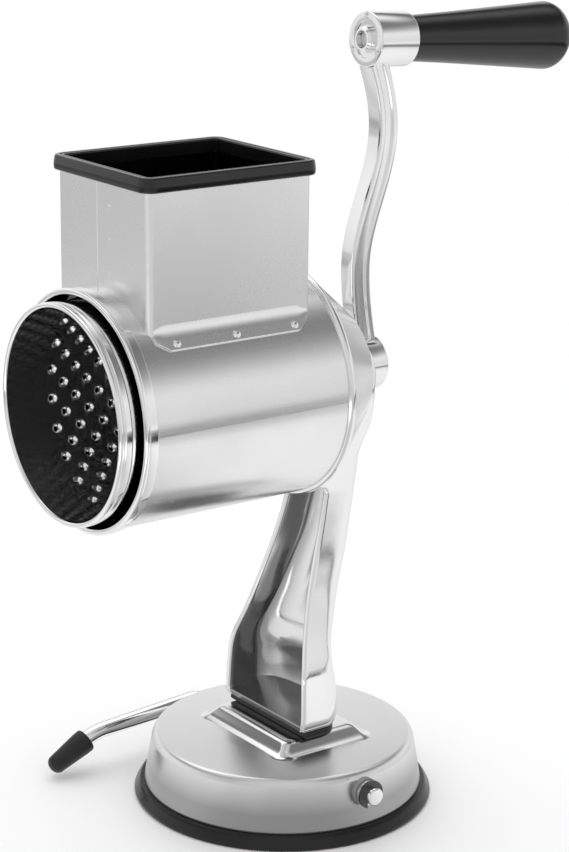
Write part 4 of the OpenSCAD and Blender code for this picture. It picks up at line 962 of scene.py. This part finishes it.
def flapSection(f, lift):
    out = tubeOut + sheetWall
    low = degrees(asin(min(f["most"], (tubeOut * sin(radians(f["low"])) + lift) / tubeOut)))
    corner = sqrt(out * out - hopperHalf ** 2)
    foot = (out * cos(radians(low)), out * sin(radians(low)))
    face, back = hopperHalf - f["lap"], hopperHalf - sheetWall
    skin = softLine([(face, corner + f["upright"]), (face, corner, f["bendR"]), foot], steps=f["bendSteps"])
    hem = arcLine(0, 0, out - f["hem"], out - f["hem"], low - f["hemTurn"][0], low - f["hemTurn"][1], 1)
    under = arcLine(0, 0, tubeOut + f["gap"], tubeOut + f["gap"], low, f["high"], f["underSteps"])
    return skin + hem + under + [(back, corner + f["inner"]), (back, corner + f["upright"])]


def makeFlap(f, side):
    start, end = hopperFront + hopperCorner * f["cornerShare"], hopperBack - hopperCorner * f["cornerShare"]
    rings = []
    for k in range(f["rows"] + 1):
        y = start + (end - start) * k / f["rows"]
        lift = max(0.0, (hopperFront + f["chamfer"] - y) * f["frontRate"],
                   (y - hopperBack + f["chamfer"] * f["backShare"]) * f["backRate"])
        rings.append([(side * x, y, axisHeight + z) for x, z in flapSection(f, lift)])
    return makeObject("flap", *skinRings(rings, "flat"), satinSheet)


headShape = {"stem": 0.6, "edge": 0.97, "under": 0.05, "angles": (0, 22, 42, 60, 76)}


def domeUnit(name, radius, high, material, skirt, steps):
    stem, edge, under = radius * headShape["stem"], radius * headShape["edge"], -headShape["under"]
    line = [(0, -skirt), (stem, -skirt), (stem, under), (edge, under)]
    line += [(radius * cos(radians(a)), high * sin(radians(a))) for a in headShape["angles"]]
    return latheObject(name, line + [(0, high)], steps, baseSpot, material)


def makeRivets(h):
    spots = []
    a = radians(h["rivetTurn"])
    reach = tubeOut + sheetWall
    for side in (1, -1):
        for y in h["rivets"]:
            place = (side * reach * cos(a), y, axisHeight + reach * sin(a))
            spots.append((place, (0, side * (pi / 2 - a), 0)))
    unit = domeUnit("rivet", h["rivetR"], h["rivetHigh"], brightTrim, sheetWall, h["rivetSteps"])
    return placeAll("flapRivets", unit, spots, brightTrim)


def makeWelds(h):
    spots = [((h["weldX"], hopperFront + h["weldSink"], z), (pi / 2, 0, 0)) for z in h["welds"]]
    unit = domeUnit("weld", h["weldR"], h["weldHigh"], satinSheet, h["weldSkirt"], h["weldSteps"])
    return placeAll("weldMarks", unit, spots, satinSheet)


hopperSheet = joinPieces("hopperSheet", [makeHopperBox(hopper), makeFlap(flap, 1), makeFlap(flap, -1)])
settle(hopperSheet, "base", "satin_steel", "hopper")
settle(makeWelds(hopper), "base", "satin_steel", "hopper")
settle(makeRivets(hopper), "base", "polished_steel", "flap_rivets")
print("hopper made")


# black edging: one soft section, from the sheet outward and down from the top, carried round the mouth
edging = {"corner": 3.2, "low": 268.4, "cornerSteps": 12, "arcSteps": 7, "sharp": 50,
          "section": [(0.05, 0), (2.45, 0, 0.7), (2.6, -2.436, 3.4), (2.1, -5.8, 2.3), (0.35, -5.7, 1.0),
                      (0.05, -5.3, 0.4), (-0.45, -5.68, 0.5), (-1.65, -5.55, 0.9), (-1.8, 0, 0.3), (-0.9, 0),
                      (-0.9, -3.4), (0.05, -3.4)]}


def makeEdging(e):
    path = roundedRing(hopperHalf, (hopperBack - hopperFront) / 2, hopperMiddle, e["corner"], e["low"],
                       e["cornerSteps"])
    section = softLine(e["section"], closed=True, steps=e["arcSteps"])
    return sweep("hopperEdging", path, section, glossBlack, closed=True, sharp=e["sharp"])


settle(makeEdging(edging), "base", "gloss_black", "hopper_trim")
print("edging made")


# crank: a grooved bar swept along its wave, between two turned bosses
crank = {"wide": 8.5, "thick": 9.2, "edge": 2.0, "groove": 3.8, "grooveDeep": 0.95, "lip": 0.3,
         "lipSoft": 0.5, "grooveIn": 0.5, "grooveSoft": 0.7, "midY": 40.3, "wave": 6.4, "midUp": 68.6,
         "waveLong": 113.0, "footShare": 0.5, "footRise": 1.6, "low": 6.8, "high": 123.25,
         "rows": 150, "sharp": 50}
boss = {"y": 31.9, "radius": 11.3, "long": 12.0, "boreR": 5.0, "recessY": 38.6, "recessR": 6.4, "headR": 2.5,
        "headDeep": 1, "soft": 0.7, "endSoft": 1.2, "recessSoft": 0.3, "floorSoft": 0.2, "steps": 128}
topEnd = {"y": 36.7, "up": 132.6, "radius": 11.0, "long": 19.4, "droop": 2.5, "pinR": 5.2, "stakeR": 7.4,
          "stakeDeep": 0.8, "stakeSoft": (0.15, 0.2), "soft": 0.7, "steps": 128, "dimples": 3,
          "dimpleR": 1.4, "dimpleReach": 9.2, "dimpleTurn": 30, "dimpleOut": 0.35,
          "dimpleBall": (-75, 75, 10), "dimpleSteps": 24}
handleWay = (0, cos(radians(topEnd["droop"])), -sin(radians(topEnd["droop"])))
handleSpot = spotOn((0, topEnd["y"], axisHeight + topEnd["up"]), handleWay)


def armY(c, up):
    t = turn * (up - c["midUp"]) / c["waveLong"]
    if t < -turn / 4:
        y = c["midY"] - c["wave"] + c["footShare"] * c["wave"] * (1 + sin(t))
    else:
        y = c["midY"] + c["wave"] * sin(t)
    return max(boss["y"] + c["thick"] / 2, y) if up < boss["radius"] + c["footRise"] else y


def makeArm(c):
    x, y, g = c["wide"] / 2, c["thick"] / 2, c["groove"] / 2
    deep = x - c["grooveDeep"]
    lip, floor = g + c["lip"], g - c["grooveIn"]
    half = [(x, -y, c["edge"]), (x, -lip, c["lipSoft"]), (deep, -floor, c["grooveSoft"]),
            (deep, floor, c["grooveSoft"]), (x, lip, c["lipSoft"]), (x, y, c["edge"])]
    section = softLine(half + [(-px, -py, r) for px, py, r in half], closed=True)
    ups = [c["low"] + (c["high"] - c["low"]) * k / c["rows"] for k in range(c["rows"] + 1)]
    path = [(0, armY(c, up), axisHeight + up) for up in ups]
    return sweep("arm", path, section, polished, sharp=c["sharp"])


def makeLowBoss(b):
    end, floor = b["y"] + b["long"], b["recessY"] - b["headDeep"]
    line = softLine([(b["boreR"], b["y"]), (b["radius"], b["y"], b["soft"]),
                     (b["radius"], end, b["endSoft"]), (b["recessR"], end, b["recessSoft"]),
                     (b["recessR"], b["recessY"], b["floorSoft"]),
                     (b["headR"], b["recessY"]), (b["headR"], floor), (b["boreR"], floor)])
    return latheObject("lowBoss", line, b["steps"], drumSpot, polished)


def makeTopBoss(b):
    line = softLine([(b["pinR"], b["stakeDeep"]), (b["stakeR"], b["stakeDeep"], b["stakeSoft"][0]),
                     (b["stakeR"], 0, b["stakeSoft"][1]), (b["radius"], 0, b["soft"]),
                     (b["radius"], b["long"], b["soft"]), (b["pinR"], b["long"])])
    made = latheObject("topBoss", line, b["steps"], handleSpot, polished)
    r = b["dimpleR"]
    ball = [(0, -r)] + arcLine(0, 0, r, r, *b["dimpleBall"]) + [(0, r)]
    cutters = []
    for k in range(b["dimples"]):
        a = radians(b["dimpleTurn"]) + turn * k / b["dimples"]
        centre = handleSpot(b["dimpleReach"], a, -b["dimpleOut"])
        cutters.append(latheObject("dimple", ball, b["dimpleSteps"], spotOn(centre, handleWay), polished))
    return trimWith(made, cutters)


pinPlug = {"radius": 3.48, "inside": 5, "face": 0.4, "middle": 0.2, "soft": 0.5, "steps": 64}


def makePinPlug(p):  # end of the rod inside the hollow pin
    line = softLine([(0, p["inside"]), (p["radius"], p["inside"]), (p["radius"], p["face"], p["soft"]),
                     (0, p["middle"])])
    return latheObject("pinPlug", line, p["steps"], handleSpot, plainSteel)


lowBoss, topBoss = makeLowBoss(boss), makeTopBoss(topEnd)
settle(joinPieces("crankArm", [makeArm(crank), lowBoss, topBoss]), "drive", "polished_steel", "crank_arm")
settle(makePinPlug(pinPlug), "drive", "plain_steel")
print("crank made")


# handle grip: a widening cone with a domed end
grip = {"start": 20.25, "long": 84.0, "neckR": 9.1, "neckRise": 0.08, "neckLong": 1.6, "neckSoft": 0.7,
        "bigR": 14.1, "swell": 1.06, "shares": (0.25, 0.5, 0.75, 0.92), "dome": 10.4, "bore": 6.8,
        "hollow": 63.6, "domeSteps": 22, "steps": 160}


def makeGrip(g):
    domeY = g["start"] + g["long"] - g["dome"]
    coneY, hollowY = g["start"] + g["neckLong"], g["start"] + g["hollow"]
    line = softLine([(g["bore"], g["start"]), (g["neckR"], g["start"], g["neckSoft"]),
                     (g["neckR"] + g["neckRise"], coneY)])
    line += [(g["neckR"] + (g["bigR"] - g["neckR"]) * share ** g["swell"], coneY + (domeY - coneY) * share)
             for share in g["shares"]]
    line += arcLine(0, domeY, g["bigR"], g["dome"], 0, 90, g["domeSteps"])[:-1]
    line += [(0, domeY + g["dome"]), (0, hollowY), (g["bore"], hollowY)]
    return latheObject("handleGrip", line, g["steps"], handleSpot, glossBlack)


settle(makeGrip(grip), "handle", "gloss_black", "handle_grip")
print("grip made")


# lever: one bent rod that is the axle and the arm, and its tapered grip
lever = {"rodR": 3.6, "rodSteps": 40, "axleEnd": 64.0, "axleLap": 0.4, "axleMid": 20, "armX": 62.6,
         "cornerR": 4.8, "cornerStep": 6, "cornerLead": 3, "run": 45.0, "slope": 4.0, "curveR": 22.0,
         "tailSlope": 27.0, "curveSteps": 12, "tailLap": 0.6, "chamfer": 0.8, "tipLong": 6, "coreShare": 0.2,
         "tipSteps": 64}
leverEnd = {"long": 20.5, "radius": 5.2, "tipR": 4.1, "tipShare": 0.8, "start": 0.3, "mouth": 0.6,
            "mouthSoft": 0.2, "shoulder": 0.9, "shoulderSoft": 0.8, "taper": 0.05, "taperLong": 4,
            "domeSteps": 14, "steps": 96}


def leverPath(v):
    z, x, r = axleHeight, v["armX"], v["cornerR"]
    path = [(v["axleEnd"] - v["chamfer"] - v["axleLap"], 0, z), (v["axleMid"], 0, z), (-v["axleMid"], 0, z),
            (-x + r + v["cornerLead"], 0, z)]
    path += [(-x + r - r * sin(radians(a)), -r + r * cos(radians(a)), z)
             for a in range(0, 91, v["cornerStep"])]
    low, high = radians(v["slope"]), radians(v["tailSlope"])
    end = Vector((-x, -r - v["run"] * cos(low), z - v["run"] * sin(low)))
    centre = end - Vector((0, -sin(low), cos(low))) * v["curveR"]
    for k in range(v["curveSteps"] + 1):
        a = low + (high - low) * k / v["curveSteps"]
        path.append(tuple(centre + Vector((0, -sin(a), cos(a))) * v["curveR"]))
    return path, Vector((0, -cos(high), -sin(high)))


def makeLeverRod(v, path, way):
    circle = arcLine(0, 0, v["rodR"], v["rodR"], 0, 360, v["rodSteps"])[:-1]
    rod = sweep("rod", path + [tuple(Vector(path[-1]) + way * v["tailLap"])], circle, brightTrim)
    line = softLine([(v["rodR"] * v["coreShare"], -v["tipLong"]), (v["rodR"], -v["tipLong"]),
                     (v["rodR"], 0, v["chamfer"]), (0, 0)])
    line = [(0, -v["tipLong"])] + line
    tip = latheObject("axleTip", line, v["tipSteps"], axleSpot(v["axleEnd"]), brightTrim)
    return joinPieces("leverRod", [rod, tip])


def makeLeverGrip(g, path, way):
    high = g["tipR"] * g["tipShare"]
    line = softLine([(0, g["start"]), (g["radius"] - g["mouth"], g["start"], g["mouthSoft"]),
                     (g["radius"], g["shoulder"], g["shoulderSoft"]),
                     (g["radius"] - g["taper"], g["taperLong"])])
    line += arcLine(0, g["long"] - high, g["tipR"], high, 0, 90, g["domeSteps"])[:-1]
    return latheObject("leverGrip", line + [(0, g["long"])], g["steps"], spotOn(path[-1], way), mattBlack)


rodPath, tailWay = leverPath(lever)
settle(makeLeverRod(lever, rodPath, tailWay), "lever", "polished_steel", "lever_rod")
settle(makeLeverGrip(leverEnd, rodPath, tailWay), "lever", "matt_black", "lever_grip")
print("lever made")


# CAD nodes that keep their shape get their finish
nodeFinish = {"axle_bushes": greyPolymer, "shaft_bushes": bronze, "housing_tube": satinTube,
              "grip_core": mattBlack, "axle_clip": darkSteel, "drum_nut": brightTrim,
              "handle_pin": brightTrim}
for nodeName in ("stand_screws", "stand_washers", "drum_back", "drum_rivets", "drive_shaft", "drum_washer",
                 "thrust_washer", "crank_screw", "crank_washer", "handle_washer", "lever_cam", "cam_pin",
                 "axle_washer", "suction_plate", "suction_yoke"):
    nodeFinish[nodeName] = plainSteel
for nodeName, finish in nodeFinish.items():
    for held in nodes[nodeName].material_slots:
        held.material = finish
print("finishes set on", len(nodeFinish), "nodes")


# stage: pale floor and white surroundings; polished metal sees a softer, graded studio.
# A ring holds metres out from the object and how bright metal sees the floor there, a wall degrees up and
# how bright it is; a side is the way it lies and the span, in cosines, over which it fades in
studio = {"floorHalf": 3.0, "floorColour": (0.96, 0.96, 0.96), "floorRough": 0.6, "diffuse": 1.0,
          "ringSpan": 2.0, "wallSpan": 90, "whiteFrom": 0.35, "whiteTo": 0.85,
          "ring": [(0.0, 1.0), (0.44, 1.06), (0.53, 0.75), (0.57, 0.05), (0.72, 0.03), (0.85, 0.20),
                   (1.05, 0.36), (1.25, 0.70), (1.5, 1.05), (2.0, 0.85)],
          "ringBack": [(0.0, 1.0), (0.45, 1.0), (0.68, 0.85), (0.8, 0.3), (0.9, 0.22), (1.05, 0.36),
                       (1.25, 0.70), (1.5, 1.05), (2.0, 0.85)],
          "ringLeft": [(0.0, 0.95), (0.45, 0.85), (0.6, 0.66), (0.8, 0.74), (1.0, 0.68), (1.15, 0.46),
                       (1.4, 0.44), (2.0, 0.60)],
          "wallRight": [(0, 0.82), (17, 0.90), (22, 0.80), (27, 0.60), (34, 0.38), (41, 0.24), (56, 0.18),
                        (68, 0.5), (90, 0.8)],
          "wallLeft": [(0, 0.88), (15, 1.0), (26, 0.9), (33, 0.20), (40, 0.16), (44, 0.45), (50, 0.9),
                       (60, 1.0), (90, 0.8)],
          "backSide": ((0.5, 0.866), 0.893, 0.908), "leftSide": ((-0.985, 0.174), -0.3, 0.6),
          "leftWall": ((-0.985, 0.174), -0.35, 0.45), "viewerSide": ((0.809, -0.588), 0.45, 0.9),
          "viewerWall": ((0.809, -0.588), 0.55, 0.9), "viewerFloor": 0.66, "viewer": 0.72,
          "cardSide": ((0.30, -0.954), 0.88, 0.96), "card": 1.9, "cardFrom": 0.36, "cardTo": 0.66,
          "cardFade": 0.1}  # the card lights the teeth


def rampNode(tree, value, stops, span):
    node = addNode(tree, "ValToRGB", {0: mathNode(tree, "DIVIDE", value, span)})
    ramp = node.color_ramp
    while len(ramp.elements) > 1:
        ramp.elements.remove(ramp.elements[-1])
    for k, (place, level) in enumerate(stops):
        stop = ramp.elements[0] if k == 0 else ramp.elements.new(place / span)
        stop.position = place / span
        stop.color = (level, level, level, 1)
    return node.outputs[0]


def blendNode(tree, share, first, second):
    return addNode(tree, "Mix", {0: share, 2: first, 3: second}, data_type="FLOAT").outputs[0]


def sideNode(tree, x, y, side):
    way, start, end = side
    shares = [mathNode(tree, "MULTIPLY", place, part) for place, part in zip((x, y), way)]
    return fadeNode(tree, mathNode(tree, "ADD", *shares), start, end)


def flatWay(tree, coords):  # the level way to a spot, how far it is and its height
    spot = addNode(tree, "SeparateXYZ", {0: coords}).outputs
    reach = lengthNode(tree, spot[0], spot[1])
    safe = mathNode(tree, "MAXIMUM", reach, 0.0001)  # never divides by nothing
    return mathNode(tree, "DIVIDE", spot[0], safe), mathNode(tree, "DIVIDE", spot[1], safe), reach, spot[2]


def floorLevel(tree, x, y, reach, s):
    rings = (s["ring"], s["ringBack"], s["ringLeft"])
    level, back, left = (rampNode(tree, reach, ring, s["ringSpan"]) for ring in rings)
    for side, other in (("backSide", back), ("leftSide", left), ("viewerSide", s["viewerFloor"])):
        level = blendNode(tree, sideNode(tree, x, y, s[side]), level, other)
    card = sideNode(tree, x, y, s["cardSide"])
    for start, first, last in ((s["cardFrom"], 0.0, 1.0), (s["cardTo"], 1.0, 0.0)):
        near = fadeNode(tree, reach, start, start + s["cardFade"], first, last)
        card = mathNode(tree, "MULTIPLY", card, near)
    return blendNode(tree, card, level, s["card"])


def makeFloor(s):
    half = 1000 * s["floorHalf"]
    corners = [(-half, -half, 0), (half, -half, 0), (half, half, 0), (-half, half, 0)]
    mesh = newMesh("floor", corners, faces=[(0, 1, 2, 3)])
    floor = linked("floor", mesh)
    material, tree, shader = startMaterial("paleFloor", {"Base Color": (*s["floorColour"], 1),
                                                         "Roughness": s["floorRough"]})
    coords = addNode(tree, "TexCoord")
    x, y, reach = flatWay(tree, coords.outputs["Object"])[:3]
    glow = addNode(tree, "Emission", {"Color": (1, 1, 1, 1), "Strength": floorLevel(tree, x, y, reach, s)})
    path = addNode(tree, "LightPath")
    seen = mathNode(tree, "MAXIMUM", path.outputs["Is Glossy Ray"], path.outputs["Is Transmission Ray"])
    plain = addNode(tree, "Emission", {"Color": (1, 1, 1, 1), "Strength": 1.0})
    far = mathNode(tree, "MULTIPLY", fadeNode(tree, reach, s["whiteFrom"], s["whiteTo"]),
                   path.outputs["Is Camera Ray"])
    faded = addNode(tree, "MixShader", {0: far, 1: shader.outputs[0], 2: plain.outputs[0]})
    mixed = addNode(tree, "MixShader", {0: seen, 1: faded.outputs[0], 2: glow.outputs[0]})
    tree.links.new(mixed.outputs[0], tree.nodes["Material Output"].inputs[0])
    mesh.materials.append(material)


def makeWorld(s):
    world = bpy.data.worlds.new("studio")
    scene.world = world
    world.use_nodes = True
    tree = world.node_tree
    coords = addNode(tree, "TexCoord")
    x, y, reach, up = flatWay(tree, coords.outputs["Generated"])
    rise = mathNode(tree, "ARCTAN2", mathNode(tree, "MAXIMUM", up, 0.0), reach)
    rise = mathNode(tree, "MULTIPLY", rise, 360 / turn)
    level, left = (rampNode(tree, rise, s[k], s["wallSpan"]) for k in ("wallRight", "wallLeft"))
    for side, other in (("leftWall", left), ("viewerWall", s["viewer"])):
        level = blendNode(tree, sideNode(tree, x, y, s[side]), level, other)
    path = addNode(tree, "LightPath")
    strength = blendNode(tree, path.outputs["Is Glossy Ray"], s["diffuse"], level)
    plain = mathNode(tree, "MAXIMUM", path.outputs["Is Camera Ray"], path.outputs["Is Transmission Ray"])
    back = tree.nodes["Background"]
    back.inputs[0].default_value = (1, 1, 1, 1)
    tree.links.new(blendNode(tree, plain, strength, 1.0), back.inputs[1])


keyLamp = {"place": (-1.0, 0.3, 1.7), "aim": (0, 0, 0.15), "size": 1.6, "power": 6}  # metres and watts


def makeLamp(look):
    data = bpy.data.lights.new("keyLamp", "AREA")
    data.shape, data.energy = "RECTANGLE", look["power"]
    data.size = data.size_y = look["size"]
    lamp = linked("keyLamp", data)
    lamp.location = look["place"]
    lamp.rotation_mode = "QUATERNION"
    lamp.rotation_quaternion = (Vector(look["aim"]) - Vector(look["place"])).to_track_quat("-Z", "Y")


makeFloor(studio)
makeWorld(studio)
makeLamp(keyLamp)
scene.view_settings.view_transform = "Standard"
print("stage lit")
